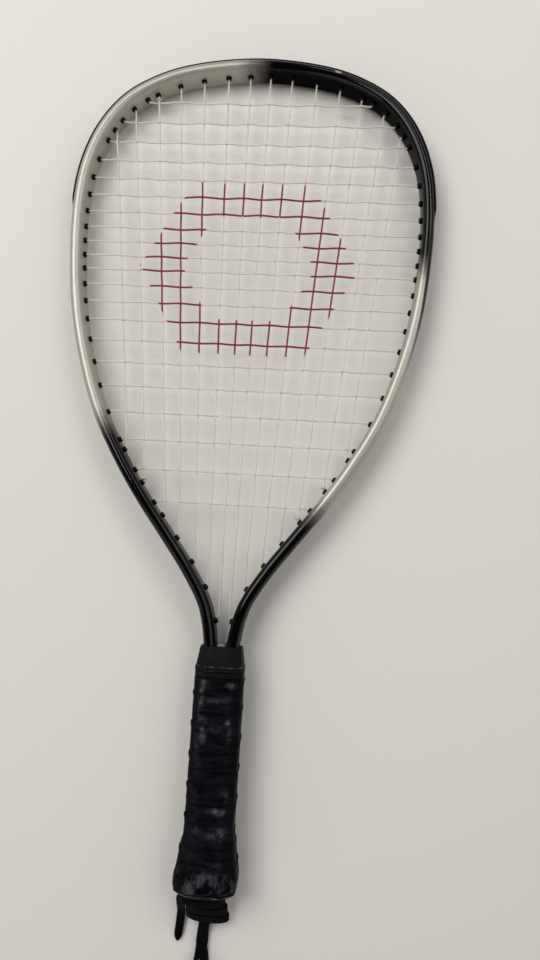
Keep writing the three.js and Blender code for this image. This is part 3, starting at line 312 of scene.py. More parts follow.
# Worked out from the sizes above
TIP_Y = OVERALL_LENGTH / 2
LOOP_LENGTH = OVERALL_LENGTH - HANDLE_LENGTH
RIM = TUBE_WIDTH / 2 + BUMPER_THICKNESS + SEAT_GAP
HALF_HEAD = HEAD_WIDTH / 2 - RIM
HALF_THROAT = THROAT_SPACING / 2
GROOVE_FLOOR = TUBE_WIDTH / 2 - GROOVE_DEPTH
STRIP_BASE = GROOVE_FLOOR + STRIP_SEAT
STRIP_TOP = GROOVE_FLOOR + SEAT_GAP + STRIP_THICKNESS
LANE_HEIGHT = STRIP_TOP + GROOVE_GAP + STRING_DIAMETER / 2
MOUTH = TUBE_WIDTH / 2 + BARREL_PROTRUSION
COLLAR_END = LOOP_LENGTH + COLLAR_LENGTH
TAPE_START = COLLAR_END + SEAT_GAP
GRIP_START = TAPE_START + TAPE_LENGTH + SEAT_GAP
GRIP_END = OVERALL_LENGTH - BUTT_RIM_LENGTH
SHELL = GRIP - 2 * (GRIP_THICKNESS + SEAT_GAP)
BUTT_CAP_START = OVERALL_LENGTH - BUTT_CAP_LENGTH
KNOT_END = KNOT_PITCH * KNOT_TURNS
KNOT_AXIS = np.array([0, -math.cos(KNOT_SLOPE), -math.sin(KNOT_SLOPE)])
UP = np.array([0, 0, 1.0])

# Camera: its place and directions in the racket's own frame, and a lens of 700 pixels on the
# photograph's long side of 960 pixels
CAMERA_PLACE = (53.92, -72.74, 460.14)
CAMERA_RIGHT = (0.996453, 0.062108, -0.056780)
CAMERA_UP = (-0.054919, 0.991204, 0.120408)
CAMERA_BACK = (0.063759, -0.116862, 0.991099)
SENSOR_LENGTH = 36
FOCAL_PIXELS = 700
PHOTO_HEIGHT = 960
CLIP_START = 0.02

# Floor, in metres
FLOOR_HALF = 3
FLOOR_DROP = 0.0001

# Surround: its colours, and the sines of the elevations between which they blend
PALE_SURROUND = (226, 225, 223)
DIM_SURROUND = (64, 64, 65)
PALE_BELOW = 0.08
DIM_ABOVE = 0.5

# Lights: a soft one from the upper left, a long thin one from above the tip, and two weaker ones.
# Each has its place, its length and width, and its power.
LIGHT_TINT = (1, 0.99, 0.97)
LIGHTS = {
    "key": ((-0.72, 0.6, 1.35), (1.15, 1.15), 17),
    "strip": ((0.5, 1.1, 1.15), (1.1, 0.14), 4.2),
    "fill": ((1.0, 0.35, 1.2), (1.4, 1.4), 7),
    "low": ((-0.9, -0.95, 0.85), (1.2, 1.2), 4),
}


def turned(points):
    """Directions or points in the racket's own frame, tilted as it lies."""
    points = np.asarray(points, float)
    c, s = math.cos(TILT), math.sin(TILT)
    x, y, z = points[..., 0], points[..., 1], points[..., 2]
    return np.stack([x, y * c + z * s, -y * s + z * c], axis=-1)


def world(points):
    """Points of the racket's own frame, in millimetres, in the row frame, in metres."""
    return (turned(points) + np.array(SHIFT)) * MM


def linked(name, data):
    made = bpy.data.objects.new(name, data)
    bpy.context.scene.collection.objects.link(made)
    return made


def stand(made, axes, where):
    """Turn an object to three axes and put it in its place."""
    rows = [[axis[r] for axis in axes] + [where[r]] for r in range(3)]
    made.matrix_world = Matrix([*rows, [0, 0, 0, 1]])


def make_camera():
    data = bpy.data.cameras.new("camera")
    data.sensor_width = SENSOR_LENGTH
    data.lens = SENSOR_LENGTH * FOCAL_PIXELS / PHOTO_HEIGHT
    data.clip_start = CLIP_START
    camera = linked("camera", data)
    axes = [turned(a) for a in (CAMERA_RIGHT, CAMERA_UP, CAMERA_BACK)]
    stand(camera, axes, world(CAMERA_PLACE))
    bpy.context.scene.camera = camera


# Materials: a few short calls to build node trees


class Nodes:
    """A material's or world's node tree round its shader."""

    def __init__(self, owner, shader="Principled BSDF"):
        owner.use_nodes = True
        self.owner = owner
        self.tree = owner.node_tree
        self.shader = self.tree.nodes[shader]

    def node(self, kind, inputs=(), **settings):
        made = self.tree.nodes.new(kind)
        for key, value in settings.items():
            setattr(made, key, value)
        for key, value in dict(inputs).items():
            self.put(made.inputs[key], value)
        return made

    def put(self, socket, value):
        if isinstance(value, bpy.types.NodeSocket):
            self.tree.links.new(value, socket)
        else:
            socket.default_value = value

    def set(self, **values):
        for key, value in values.items():
            self.put(self.shader.inputs[key.replace("_", " ")], value)

    def noise(self, scale, detail=3, roughness=0.5, stretch=None):
        vector = self.node("ShaderNodeTexCoord").outputs["Object"]
        if stretch:
            vector = self.node("ShaderNodeMapping", {"Vector": vector, "Scale": stretch}).outputs[0]
        inputs = {"Vector": vector, "Scale": scale, "Detail": detail, "Roughness": roughness}
        return self.node("ShaderNodeTexNoise", inputs).outputs["Fac"]

    def math(self, operation, a, b):
        return self.node("ShaderNodeMath", {0: a, 1: b}, operation=operation).outputs[0]

    def centred(self, value):
        return self.math("SUBTRACT", value, 0.5)

    def spread(self, value, low, high, to_low=0.0, to_high=1.0):
        inputs = {"Value": value, "From Min": low, "From Max": high}
        inputs |= {"To Min": to_low, "To Max": to_high}
        return self.node("ShaderNodeMapRange", inputs, interpolation_type="SMOOTHSTEP").outputs[0]

    def attribute(self, name):
        return self.node("ShaderNodeAttribute", attribute_name=name).outputs["Fac"]

    def mix(self, share, a, b):
        return self.node("ShaderNodeMix", {0: share, 6: a, 7: b}, data_type="RGBA").outputs[2]

    def blend(self, share, a, b):
        return self.node("ShaderNodeMix", {0: share, 2: a, 3: b}, data_type="FLOAT").outputs[0]

    def bump(self, height, distance, strength=1.0):
        inputs = {"Height": height, "Distance": distance, "Strength": strength}
        self.set(Normal=self.node("ShaderNodeBump", inputs).outputs[0])


def material(name):
    return Nodes(bpy.data.materials.new(name))


def colour(red, green, blue):
    """A colour given as on a screen, from 0 to 255, as a shader reads it."""
    def linear(value):
        value = value / 255
        return value / 12.92 if value <= 0.04045 else ((value + 0.055) / 1.055) ** 2.4

    return (linear(red), linear(green), linear(blue), 1)


def frame_paint():
    """Champagne silver and gloss black, sprayed into each other where `black` is near zero."""
    m = material("frame_paint")
    grains = m.math("MULTIPLY", m.centred(m.noise(2600, 1, 0.4)), SPRAY_GRAIN)
    clouds = m.math("MULTIPLY", m.centred(m.noise(90, 3)), SPRAY_CLOUD)
    depth = m.math("ADD", m.attribute("black"), m.math("ADD", grains, clouds))
    sprayed = m.spread(depth, -SPRAY_FADE / 2, SPRAY_FADE / 2)
    black = m.math("POWER", sprayed, SPRAY_POWER)
    flake = m.noise(5200, 2, 0.7)
    silver = m.mix(m.spread(flake, 0.3, 0.7), colour(158, 153, 144), colour(192, 188, 179))
    scratches = m.noise(900, 4, 0.6, (1, 0.15, 1))
    satin = m.spread(flake, 0.2, 0.8, 0.36, 0.48)
    gloss = m.spread(scratches, 0.45, 0.8, 0.05, 0.12)
    m.set(
        Base_Color=m.mix(black, silver, colour(3, 3, 4)),
        Metallic=m.blend(black, 0.62, 0.0),
        Roughness=m.blend(black, satin, gloss),
        Specular_IOR_Level=m.blend(m.attribute("shine"), 0.1, 1.0),
        IOR=1.21,
    )
    m.bump(m.noise(420, 2), 0.00004)
    return m.owner


def black_plastic(name, roughness=0.42, rub_and_highlight=(96, 95, 92)):
    """Moulded black plastic with fine scratches, paler where its wear value is high: scuffs, a pale
    butt rim, and painted highlights along the collar's edges and on the guard near its tip.
    """
    m = material(name)
    grain = m.noise(1500, 4, 0.6)
    worn_and_highlit = m.spread(m.math("ADD", m.attribute("wear"), m.noise(260, 5, 0.7)), 1.0, 1.35)
    base = m.mix(m.noise(120, 3), colour(4, 4, 5), colour(12, 12, 13))
    finish = m.spread(grain, 0.2, 0.8, roughness - 0.1, roughness + 0.12)
    m.set(
        # The paler colour is scuffing on the guard, a pale rim on the butt, and painted highlight
        # on the collar's edges and the guard's tip
        Base_Color=m.mix(worn_and_highlit, base, colour(*rub_and_highlight)),
        Roughness=m.blend(worn_and_highlit, finish, 0.75),
        IOR=1.2,
    )
    m.bump(grain, 0.00005)
    return m.owner


def string_nylon():
    """Semi-clear nylon, stencilled in crimson where `ink` is high."""
    m = material("string_nylon")
    fine = m.noise(900, 3, 0.6)
    ink = m.math("ADD", m.attribute("ink"), m.math("MULTIPLY", fine, 1.6))
    ink = m.spread(ink, 0.4, 1.6)
    pale = m.mix(m.noise(60, 2), colour(232, 227, 215), colour(244, 240, 230))
    red = m.mix(m.spread(fine, 0.3, 0.7), colour(116, 5, 25), colour(142, 12, 38))
    m.set(
        Base_Color=m.mix(ink, pale, red),
        Roughness=m.blend(ink, 0.3, 0.5),
        Transmission_Weight=m.blend(ink, 0.5, 0.0),
        IOR=1.5,
    )
    m.bump(m.noise(2500, 2), 0.00003)
    return m.owner


def grip_leather():
    """Black synthetic leather, creased across and rubbed grey where `wear` is high. Where
    `gathered` is high it is puckered lengthwise and greyer."""
    m = material("grip_leather")
    gathered = m.attribute("gathered")
    creases = m.noise(150, 6, 0.7, (0.62, 2.2, 0.62))
    puckers = m.noise(240, 5, 0.66, (1.25, 0.42, 1.25))
    folds = m.blend(gathered, creases, puckers)
    ridges = m.spread(folds, 0.36, 0.66)
    blotches = m.spread(m.noise(105, 3, 0.6), 0.42, 0.58)
    patches = m.spread(m.noise(130, 5, 0.72), 0.38, 0.66)
    grain = m.noise(1900, 3, 0.65)
    rub = m.math("MULTIPLY", m.attribute("wear"), patches)
    rub = m.math("MULTIPLY", rub, m.spread(folds, 0.36, 0.6, 0.3, 1.0))
    smooth_black = m.mix(ridges, colour(4, 4, 7), colour(19, 18, 25))
    puckered = m.mix(m.math("MULTIPLY", ridges, blotches), colour(5, 5, 8), colour(66, 64, 70))
    grey = m.mix(m.spread(grain, 0.3, 0.7), colour(72, 70, 76), colour(120, 117, 124))
    m.set(
        Base_Color=m.mix(rub, m.mix(gathered, smooth_black, puckered), grey),
        Roughness=m.blend(rub, m.spread(folds, 0.3, 0.7, 0.4, 0.56), 0.85),
        IOR=1.1,
    )
    m.bump(m.math("ADD", folds, m.math("MULTIPLY", grain, 0.12)), 0.0009, 0.8)
    return m.owner


def webbing():
    """Black polyester webbing with a fine weave."""
    m = material("webbing")
    weave = m.noise(3200, 2, 0.5)
    fuzz = m.noise(420, 4, 0.65)
    threads = m.spread(m.math("MULTIPLY", weave, fuzz), 0.15, 0.4)
    m.set(
        Base_Color=m.mix(threads, colour(3, 3, 4), colour(14, 14, 17)),
        Roughness=m.spread(fuzz, 0.2, 0.8, 0.75, 0.92),
        Sheen_Weight=0.06,
        Sheen_Roughness=0.4,
        IOR=1.12,
    )
    m.bump(weave, 0.00018)
    return m.owner


def plain(name, grain, colours, roughness, bump=None, clouds=None, **more):
    """One stuff, finished with a fine grain. Its colours are mixed by `clouds`, or by the grain."""
    m = material(name)
    fine = m.noise(*grain)
    share = m.noise(*clouds) if clouds else fine
    dark, pale = (colour(*known) for known in colours)
    finish = m.spread(fine, 0.2, 0.8, *roughness)
    m.set(Base_Color=m.mix(share, dark, pale), Roughness=finish, **more)
    if bump:
        m.bump(fine, bump)
    return m.owner


def zinc_steel():
    grain, colours = (1500, 3, 0.6, (1, 1, 6)), ((150, 152, 154), (182, 184, 186))
    return plain("zinc_steel", grain, colours, (0.28, 0.45), 0.00003, Metallic=1.0)


def plug_rubber():
    colours = ((96, 95, 92), (130, 129, 125))
    return plain("plug_rubber", (1200, 4, 0.6), colours, (0.5, 0.7), 0.00005, (300, 3))


def vinyl_tape():
    colours = ((5, 5, 6), (12, 12, 14))
    return plain("vinyl_tape", (800, 3, 0.6), colours, (0.45, 0.6), 0.00006, IOR=1.2)


def moulded_shell():
    colours = ((48, 48, 50), (62, 62, 64))
    return plain("moulded_shell", (700, 4, 0.6), colours, (0.6, 0.75), 0.00008)


def stage_paint():
    colours = ((221, 218, 213), (226, 223, 218))
    return plain("stage_paint", (40, 3), colours, (0.85, 0.95), clouds=(2.2, 2))


# Shapes


class Shape:
    """Rings of points gathered into one mesh, with values that the materials read."""

    def __init__(self):
        self.points, self.faces, self.values, self.count = [], [], {}, 0

    def add(self, rings, closed=False, **values):
        """Join rings of points, closed end to end or with a cap at each end."""
        rings = np.asarray(rings, float)
        rows, sides = rings.shape[:2]
        index = np.arange(rows * sides).reshape(rows, sides) + self.count
        beside = np.roll(index, -1, axis=1)
        corners = [index, beside, np.roll(beside, -1, axis=0), np.roll(index, -1, axis=0)]
        quads = np.stack(corners, axis=-1)
        quads = quads if closed else quads[:-1]
        self.faces += quads.reshape(-1, 4).tolist()
        if not closed:
            self.faces += [index[0][::-1].tolist(), index[-1].tolist()]
        for key in set(self.values) | set(values):
            known = self.values.setdefault(key, [np.zeros(self.count)] if self.count else [])
            known.append(np.broadcast_to(values.get(key, 0.0), (rows, sides)).ravel())
        self.points.append(rings.reshape(-1, 3))
        self.count += rows * sides
        return self

    def build(self, name, painted, slot, replaced, sharp=38):
        mesh = bpy.data.meshes.new(name)
        mesh.from_pydata(np.concatenate(self.points).tolist(), [], self.faces)
        for key, parts in self.values.items():
            stored = mesh.attributes.new(key, "FLOAT", "POINT")
            stored.data.foreach_set("value", np.concatenate(parts).astype(np.float32))
        shape = bmesh.new()
        shape.from_mesh(mesh)
        bmesh.ops.recalc_face_normals(shape, faces=shape.faces)
        shape.to_mesh(mesh)
        shape.free()
        mesh.polygons.foreach_set("use_smooth", [True] * len(mesh.polygons))
        mesh.set_sharp_from_angle(angle=math.radians(sharp))
        mesh.materials.append(painted)
        made = linked(name, mesh)
        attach(made, "root")
        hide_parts(*replaced)
        return made


def unit(vectors):
    return vectors / np.linalg.norm(vectors, axis=-1, keepdims=True)


def smooth(value):
    value = np.clip(value, 0, 1)
    return value * value * (3 - 2 * value)


def circle(count):
    """The cosines and sines of so many angles round a circle."""
    angles = np.arange(count) * 2 * math.pi / count
    return np.cos(angles), np.sin(angles)


def squared(c, s, power, size):
    """A circle's cosines and sines drawn out to a rounded rectangle of some width and height."""
    return [np.sign(v) * np.abs(v) ** power * side / 2 for v, side in zip((c, s), size)]


def curve_through(points, steps):
    """Points of a centripetal Catmull-Rom curve, `steps` of them from each point to the next."""
    p = np.asarray(points, float)
    p = np.vstack([2 * p[0] - p[1], p, 2 * p[-1] - p[-2]])
    made = []
    for a, b, c, d in zip(p, p[1:], p[2:], p[3:]):
        ab, bc, cd = (math.sqrt(np.linalg.norm(y - x)) for x, y in ((a, b), (b, c), (c, d)))
        start = ((b - a) / ab - (c - a) / (ab + bc) + (c - b) / bc) * bc
        end = ((c - b) / bc - (d - b) / (bc + cd) + (d - c) / cd) * bc
        t = (np.arange(steps) / steps)[:, None]
        rest = (-3 * b + 3 * c - 2 * start - end) * t**2 + (2 * b - 2 * c + start + end) * t**3
        made.append(b + start * t + rest)
    return np.vstack([*made, p[-2:-1]])


def lengths_along(points):
    return np.concatenate([[0], np.cumsum(np.linalg.norm(np.diff(points, axis=0), axis=1))])


def at_steps(points, step):
    """The same line with points a step apart."""
    far = lengths_along(points)
    where = np.linspace(0, far[-1], max(2, round(far[-1] / step) + 1))
    return np.stack([np.interp(where, far, column) for column in points.T], axis=-1)


def without_corners(points):
    """The same open line with its corners cut twice, a quarter from each side."""
    for _ in range(2):
        a, b = points[:-1], points[1:]
        cut = np.stack([0.75 * a + 0.25 * b, 0.25 * a + 0.75 * b], axis=1)
        points = np.vstack([points[:1], cut.reshape(-1, points.shape[1]), points[-1:]])
    return points


def round_tube(points, radius, sides):
    """Rings round a line, carried along it without twisting."""
    heading = unit(np.gradient(points, axis=0))
    side = unit(np.cross(heading[0], UP + 0.01))
    c, s = circle(sides)
    rings = []
    for point, along in zip(points, heading):
        side = unit(side - along * side.dot(along))
        rings.append(point + radius * (np.outer(c, side) + np.outer(s, np.cross(along, side))))
    return np.array(rings)


def span(start, end, step):
    return np.linspace(start, end, max(2, round(abs(end - start) / step) + 1))


# The frame's centre line, from the left tube's end in the handle over the tip to the right one's


def place(across, down, up=0.0):
    return np.stack(np.broadcast_arrays(across, TIP_Y - down, up), axis=-1)


def centre_line():
    half = [
        place(HALF_THROAT + out * (HALF_HEAD - HALF_THROAT), RIM + down * (LOOP_LENGTH - RIM))
        for out, down in LOOP_SHARES
    ]
    in_handle = (0, COLLAR_LENGTH, HANDLE_LENGTH - TUBE_TO_BUTT)
    half += [place(HALF_THROAT, LOOP_LENGTH + down) for down in in_handle]
    left = [p * np.array([-1, 1, 1]) for p in reversed(half)]
    return at_steps(curve_through([*left, place(0, RIM), *half], LINE_CURVE_STEPS), LINE_STEP)


LINE = centre_line()
LINE_FROM_TIP = lengths_along(LINE) - lengths_along(LINE)[-1] / 2
LINE_HEADING = unit(np.gradient(LINE, axis=0))
LINE_OUTWARD = np.cross(UP, LINE_HEADING)


def on_line(distance, out=0.0, up=0.0):
    """Points at distances along the line, moved out of the loop and up."""
    distance, out, up = (np.asarray(value, float) for value in (distance, out, up))
    found = [
        np.stack([np.interp(distance, LINE_FROM_TIP, column) for column in known.T], axis=-1)
        for known in (LINE, LINE_OUTWARD)
    ]
    return found[0] + out[..., None] * found[1] + up[..., None] * UP


def sweep(section, distances):
    """Rings of a section along the line: its first number points out of the loop, its second up."""
    section = np.asarray(section, float)
    grid = np.asarray(distances, float)[:, None]
    if section.ndim == 2:
        section = np.broadcast_to(section, (len(distances), *section.shape))
    return on_line(np.broadcast_to(grid, section.shape[:2]), section[..., 0], section[..., 1])


# Holes for the strings, by their distance along the line on the right side


def hole(is_past):
    right = LINE_FROM_TIP[LINE_FROM_TIP >= 0]
    return float(right[np.argmax(is_past(on_line(right, -MOUTH)))])


def hole_across(across):
    return hole(lambda mouths: mouths[:, 0] > across)


def hole_down(down):
    return hole(lambda mouths: TIP_Y - mouths[:, 1] > down)


def bend(distance):
    """Where a string turns, just inside the mouth of its grommet."""
    return on_line(distance, -MOUTH - MOUTH_BEND)


def cross_holes():
    """How far down each cross is and its hole: they are closest where the head is widest."""
    first = TIP_Y - bend(hole_across(HEAD_SHARES[-1] * HEAD_WIDTH / 2))[1]
    first += TIE_SETBACK + TIE_LENGTH + WEAVE_GAP + STRING_DIAMETER / 2
    tightest, last = TIGHTEST_CROSS_SHARE * LOOP_LENGTH, LAST_CROSS_SHARE * LOOP_LENGTH
    below = CROSS_COUNT - 1 - TIGHTEST_CROSS
    up = [TIGHTEST_CROSS_GAP + GAP_GROWTH_TO_TIP * k for k in range(TIGHTEST_CROSS)]
    down = [TIGHTEST_CROSS_GAP + GAP_GROWTH_TO_THROAT * k for k in range(below)]
    to_tip = (tightest - first) / sum(up)
    to_throat = (last - tightest) / sum(down)
    places = [tightest - to_tip * sum(up[:k]) for k in range(TIGHTEST_CROSS, 0, -1)]
    places += [tightest + to_throat * sum(down[:k]) for k in range(below + 1)]
    return places, [hole_down(where) for where in places]


def main_holes():
    """The holes at the head and at the throat of each main, from the left one to the right one."""
    heads = [hole_across(share * HEAD_WIDTH / 2) for share in HEAD_SHARES]
    for share, a, b in zip(HEAD_BETWEEN_SHARES, CROSSES, CROSSES[1:]):
        heads.append(a + share * (b - a))
    last = CROSS_PLACES[-1]
    downs = [last + share * (LOOP_LENGTH - last) for share in THROAT_SHARES]
    for k, share in enumerate(THROAT_BETWEEN_SHARES):
        a, b = CROSS_PLACES[-2 - k], CROSS_PLACES[-1 - k]
        downs.append(a + share * (b - a))
    right = list(zip(heads, map(hole_down, downs)))
    return [(-a, -b) for a, b in reversed(right)] + right


CROSS_PLACES, CROSSES = cross_holes()
MAINS = main_holes()
CROSS_ENDS = [(-d, d) for d in CROSSES]
HOLES = sorted(d for pair in MAINS + CROSS_ENDS for d in pair)
BUMPER_END = hole_down(BUMPER_REACH_SHARE * LOOP_LENGTH)


# Frame


def tube_section():
    radius, rise = TUBE_WIDTH / 2, (TUBE_DEPTH - TUBE_WIDTH) / 2
    lip, edge = GROOVE_LIP, GROOVE_WIDTH / 2
    angles = np.linspace(0, math.pi, ARC_STEPS + 1)
    top = [(radius * math.cos(a), rise + radius * math.sin(a)) for a in angles]
    side = [(-radius, rise * share) for share in (0.5, 0, -0.5)]
    low = [(-x, -y) for x, y in top]
    groove = [(radius, -edge - lip), (radius - lip, -edge), (GROOVE_FLOOR, -edge)]
    return np.array([*top, *side, *low, *groove, *[(x, -y) for x, y in reversed(groove)]])


def black_depth(distance, out):
    """How far inside the black paint a place on the tube is, in millimetres."""
    end = RIGHT_FADE + OUTER_REACH * smooth((out - OUTER_START) / OUTER_BLEND)
    to_end = (end - distance) * (1 - OUTER_EASE * smooth(out / OUTER_EASE_BLEND))
    upper = np.minimum(distance - TOP_FADE, to_end)
    return np.maximum(upper, np.maximum(distance - LOWER_RIGHT_FADE, LOWER_LEFT_FADE - distance))


def make_frame(painted):
    section = tube_section()
    distances = span(LINE_FROM_TIP[0], LINE_FROM_TIP[-1], TUBE_STEP)
    black = black_depth(distances[:, None], section[None, :, 0])
    along, out, up, length, width, deep = CHIP
    off = ((distances[:, None] - along) / length) ** 2
    off = off + ((section[:, 0] - out) ** 2 + (section[:, 1] - up) ** 2) / width**2
    black = black - deep * np.exp(-off)
    shine = smooth((np.abs(section[:, 1]) - (TUBE_DEPTH - TUBE_WIDTH) / 2) / SHOULDER)
    shape = Shape().add(world(sweep(section, distances)), black=black, shine=shine)
    return shape.build("painted_tube", painted, "frame", ["frame_tube"])


def barrel(distance):
    """Rings of one grommet, from the strip through the tube to its flared mouth."""
    deep, lip = STRIP_BASE + STRIP_THICKNESS / 2, MOUTH + BARREL_FLARE
    rows = [
        (deep, BARREL_BORE),
        (deep, BARREL_RADIUS),
        (-TUBE_WIDTH / 2, BARREL_RADIUS),
        (-TUBE_WIDTH / 2, BARREL_LIP),
        (-lip + BARREL_LIP_LENGTH, BARREL_LIP),
        (-lip + 2 * BARREL_BEVEL, BARREL_LIP - BARREL_BEVEL),
        (-lip, BARREL_LIP - 3 * BARREL_BEVEL),
        (-lip, BARREL_BORE + BARREL_BEVEL),
        (-lip + 1.5 * BARREL_BEVEL, BARREL_BORE),
    ]
    centre, outward = on_line(distance), on_line(distance, 1) - on_line(distance)
    c, s = circle(BARREL_SIDES)
    round_it = np.outer(c, np.cross(outward, UP)) + np.outer(s, UP)
    return np.array([centre + outward * out + round_it * radius for out, radius in rows])


def with_barrels(shape, low, high):
    for distance in HOLES:
        if low < distance < high:
            shape.add(world(barrel(distance)), closed=True)
    return shape


def bumper_section():
    """The guard's outline across the tube: a low arch outside, and a channel for the strings."""
    seat, wall = TUBE_WIDTH / 2 + BUMPER_SEAT, GROOVE_WIDTH / 2 - BUMPER_SEAT
    top = TUBE_WIDTH / 2 + SEAT_GAP + BUMPER_THICKNESS
    half_width, channel = BUMPER_WIDTH / 2, wall - BUMPER_CHANNEL_WALL
    half = [
        (STRIP_BASE, wall),
        (seat, wall),
        (seat, half_width),
        (seat + BUMPER_THICKNESS / 2, half_width + BUMPER_BULGE),
        *[(top - down, half_width - inward) for down, inward in BUMPER_EDGE],
        *[(top - down, channel + outward) for down, outward in BUMPER_CHANNEL_EDGE],
        (STRIP_TOP, channel),
    ]
    return seat, np.array([(x, -y) for x, y in half] + half[::-1])


def make_bumper(painted):
    seat, section = bumper_section()
    distances = span(-BUMPER_END, BUMPER_END, TUBE_STEP / 2)
    ending = 1 - smooth((BUMPER_END - np.abs(distances)) / BUMPER_TAPER)[:, None]
    sections = np.broadcast_to(section, (len(distances), *section.shape)).copy()
    proud = np.maximum(sections[..., 0] - seat, 0)
    sections[..., 0] -= proud * ending * BUMPER_THINNING
    sections[..., 1] *= 1 - BUMPER_NARROWING * ending
    # Paler on the guard's outer face near the tip: scuffs, and a painted highlight for thin bright
    # lines along the top
    rub_and_highlight = TIP_RUB_AND_HIGHLIGHT * np.exp(-((distances / TIP_RUB_AND_HIGHLIGHT_REACH) ** 2))
    outer = smooth((section[None, :, 0] - seat) / BUMPER_THICKNESS)
    shape = Shape().add(world(sweep(sections, distances)), wear=outer * rub_and_highlight[:, None])
    with_barrels(shape, -BUMPER_END, BUMPER_END)
    return shape.build("bumper_moulding", painted, "black_plastic", ["bumper_guard"], 30)


def make_strip(name, side, painted):
    half = GROOVE_WIDTH / 2 - STRIP_SIDE_GAP
    section = [(STRIP_BASE, -half), (STRIP_TOP, -half), (STRIP_TOP, half), (STRIP_BASE, half)]
    start, end = BUMPER_END + SEAT_GAP, max(HOLES) + STRIP_OVERRUN
    shape = Shape().add(world(sweep(section, side * span(start, end, TUBE_STEP))), wear=0.0)
    strip = with_barrels(shape, *sorted((side * start, side * end)))
    return strip.build(name + "_moulding", painted, "black_plastic", [name], 30)


# Strings


def lane_points(distances, lane):
    return on_line(distances, LANE_HEIGHT, np.full(len(distances), lane * LANE_OFFSET))


def into_groove(distance, way):
    """From a hole to the groove beside it."""
    return lane_points([distance, distance + way * CORNER_RUN], 0)


def link(start, end, lane):
    """The stretch outside the frame from one hole to another, in one lane of the groove."""
    way = np.sign(end - start)
    run = way * min(LANE_RUN, LANE_RUN_SHARE * abs(end - start))
    between = lane_points(span(start + run, end - run, LANE_STEP), lane)
    return np.vstack([into_groove(start, way), between, into_groove(end, -way)[::-1]])


def tail(start, end, lane):
    """A string's end in the groove."""
    way = np.sign(end - start)
    free = lane_points(span(start + way * LANE_RUN, end - way * CORNER_RUN, LANE_STEP), lane)
    return np.vstack([into_groove(start, way), free])


def waved(start, end, heights):
    """A straight run that rises and falls. Heights are (share of the way, height)."""
    known = [(0.0, 0.0), *sorted(heights), (1.0, 0.0)]
    made = []
    for (t0, z0), (t1, z1) in zip(known, known[1:]):
        for k in range(WAVE_STEPS):
            s = k / WAVE_STEPS
            point = start + (end - start) * (t0 + (t1 - t0) * s)
            point[2] += z0 + (z1 - z0) * (0.5 - 0.5 * math.cos(math.pi * s))
            made.append(point)
    return np.array([*made, end])


def weave():
    """For each main and each cross, its (share of the way, height) at its crossings."""
    mains, crosses = [[] for _ in MAINS], [[] for _ in CROSSES]
    for j, c in enumerate(CROSSES):
        left, right = bend(-c), bend(c)
        for i, (head, throat) in enumerate(MAINS):
            a, b = bend(head), bend(throat)
            t = (a[1] - left[1]) / (a[1] - b[1])
            s = (a[0] + t * (b[0] - a[0]) - left[0]) / (right[0] - left[0])
            if 0 < t < 1 and 0 < s < 1:
                over = 1 if (i + j) % 2 else -1
                mains[i].append((t, -over * MAIN_WAVE))
                crosses[j].append((s, over * CROSS_WAVE))
    return mains, crosses


def woven(ends, heights, at, tied, lane):
    """A string's path. Its runs go to and fro, the first from its end `at`, with links between them
    and a tail at each end towards the hole where it is tied."""
    parts = [tail(ends[0][at], tied[0], lane)[::-1]]
    for k, (pair, met) in enumerate(zip(ends, heights)):
        run = waved(*(bend(d) for d in pair), met)
        parts.append(run[::-1] if at else run)
        at = 1 - at
        if k < len(ends) - 1:
            parts.append(link(pair[at], ends[k + 1][at], lane))
    return np.vstack([*parts, tail(ends[-1][at], tied[1], lane)])


def ink_depth(points):
    """How far inside the stencilled ring a point is, in millimetres."""
    x = np.abs(points[..., 0]) / MOTIF_HALF_WIDTH
    y = np.abs(TIP_Y - MOTIF_DOWN - points[..., 1]) / MOTIF_HALF_HEIGHT
    size = np.maximum(y, x + MOTIF_POINT * y) * MOTIF_HALF_HEIGHT
    return np.minimum(MOTIF_HALF_HEIGHT - size, size - MOTIF_HALF_HEIGHT + MOTIF_BAND)


def make_string(name, path, painted):
    """A woven string with less ink on its underside and none in the groove."""
    line = without_corners(path)
    rings = round_tube(line, STRING_DIAMETER / 2, STRING_SIDES)
    under = (line[:, None, 2] - rings[..., 2]) / (STRING_DIAMETER / 2)
    ink = np.clip(ink_depth(rings), NO_INK, FULL_INK) - 2 * smooth((under - 0.5) * 2)
    level = np.abs(line[:, 2:]) < INKED_HEIGHT
    shape = Shape().add(world(rings), ink=np.where(level, ink, NO_INK))
    return shape.build(name + "_woven", painted, "strings", [name], 60)


def make_tie(name, main, end, painted):
    near, far = bend(MAINS[main][end]), bend(MAINS[main][1 - end])
    along = unit(far - near)
    side = unit(np.cross(along, UP))
    over = np.cross(along, side)
    turns = np.linspace(0, TIE_TURNS * 2 * math.pi, TIE_STEPS)[:, None]
    rise = np.linspace(0, TIE_LENGTH - STRING_DIAMETER / 2, TIE_STEPS)[:, None]
    line = near + along * (rise + TIE_SETBACK + STRING_DIAMETER / 2)
    line = line + TIE_RADIUS * (np.cos(turns) * side + np.sin(turns) * over)
    shape = Shape().add(world(round_tube(line, TIE_STRING_RADIUS, STRING_SIDES)), ink=NO_INK)
    return shape.build(name + "_coil", painted, "strings", [name], 60)


def make_strings(painted):
    """Both strings and the ties at their ends. A tie sits on a main, at its head 0 or throat 1."""
    last, tied = len(MAINS) - 1, len(HEAD_BETWEEN_SHARES)
    mains, crosses = weave()
    ties = {
        "main_tie_start": (1, 1),
        "main_tie_end": (last - 1, 1),
        "cross_tie_start": (tied, 0),
        "cross_tie_end": (last - tied, 1),
    }
    tied_at = [MAINS[main][end] for main, end in ties.values()]
    make_string("main_string", woven(MAINS, mains, 1, tied_at[:2], 1), painted)
    make_string("cross_string", woven(CROSS_ENDS, crosses, 0, tied_at[2:], -1), painted)
    for name, (main, end) in ties.items():
        make_tie(name, main, end, painted)


# Handle


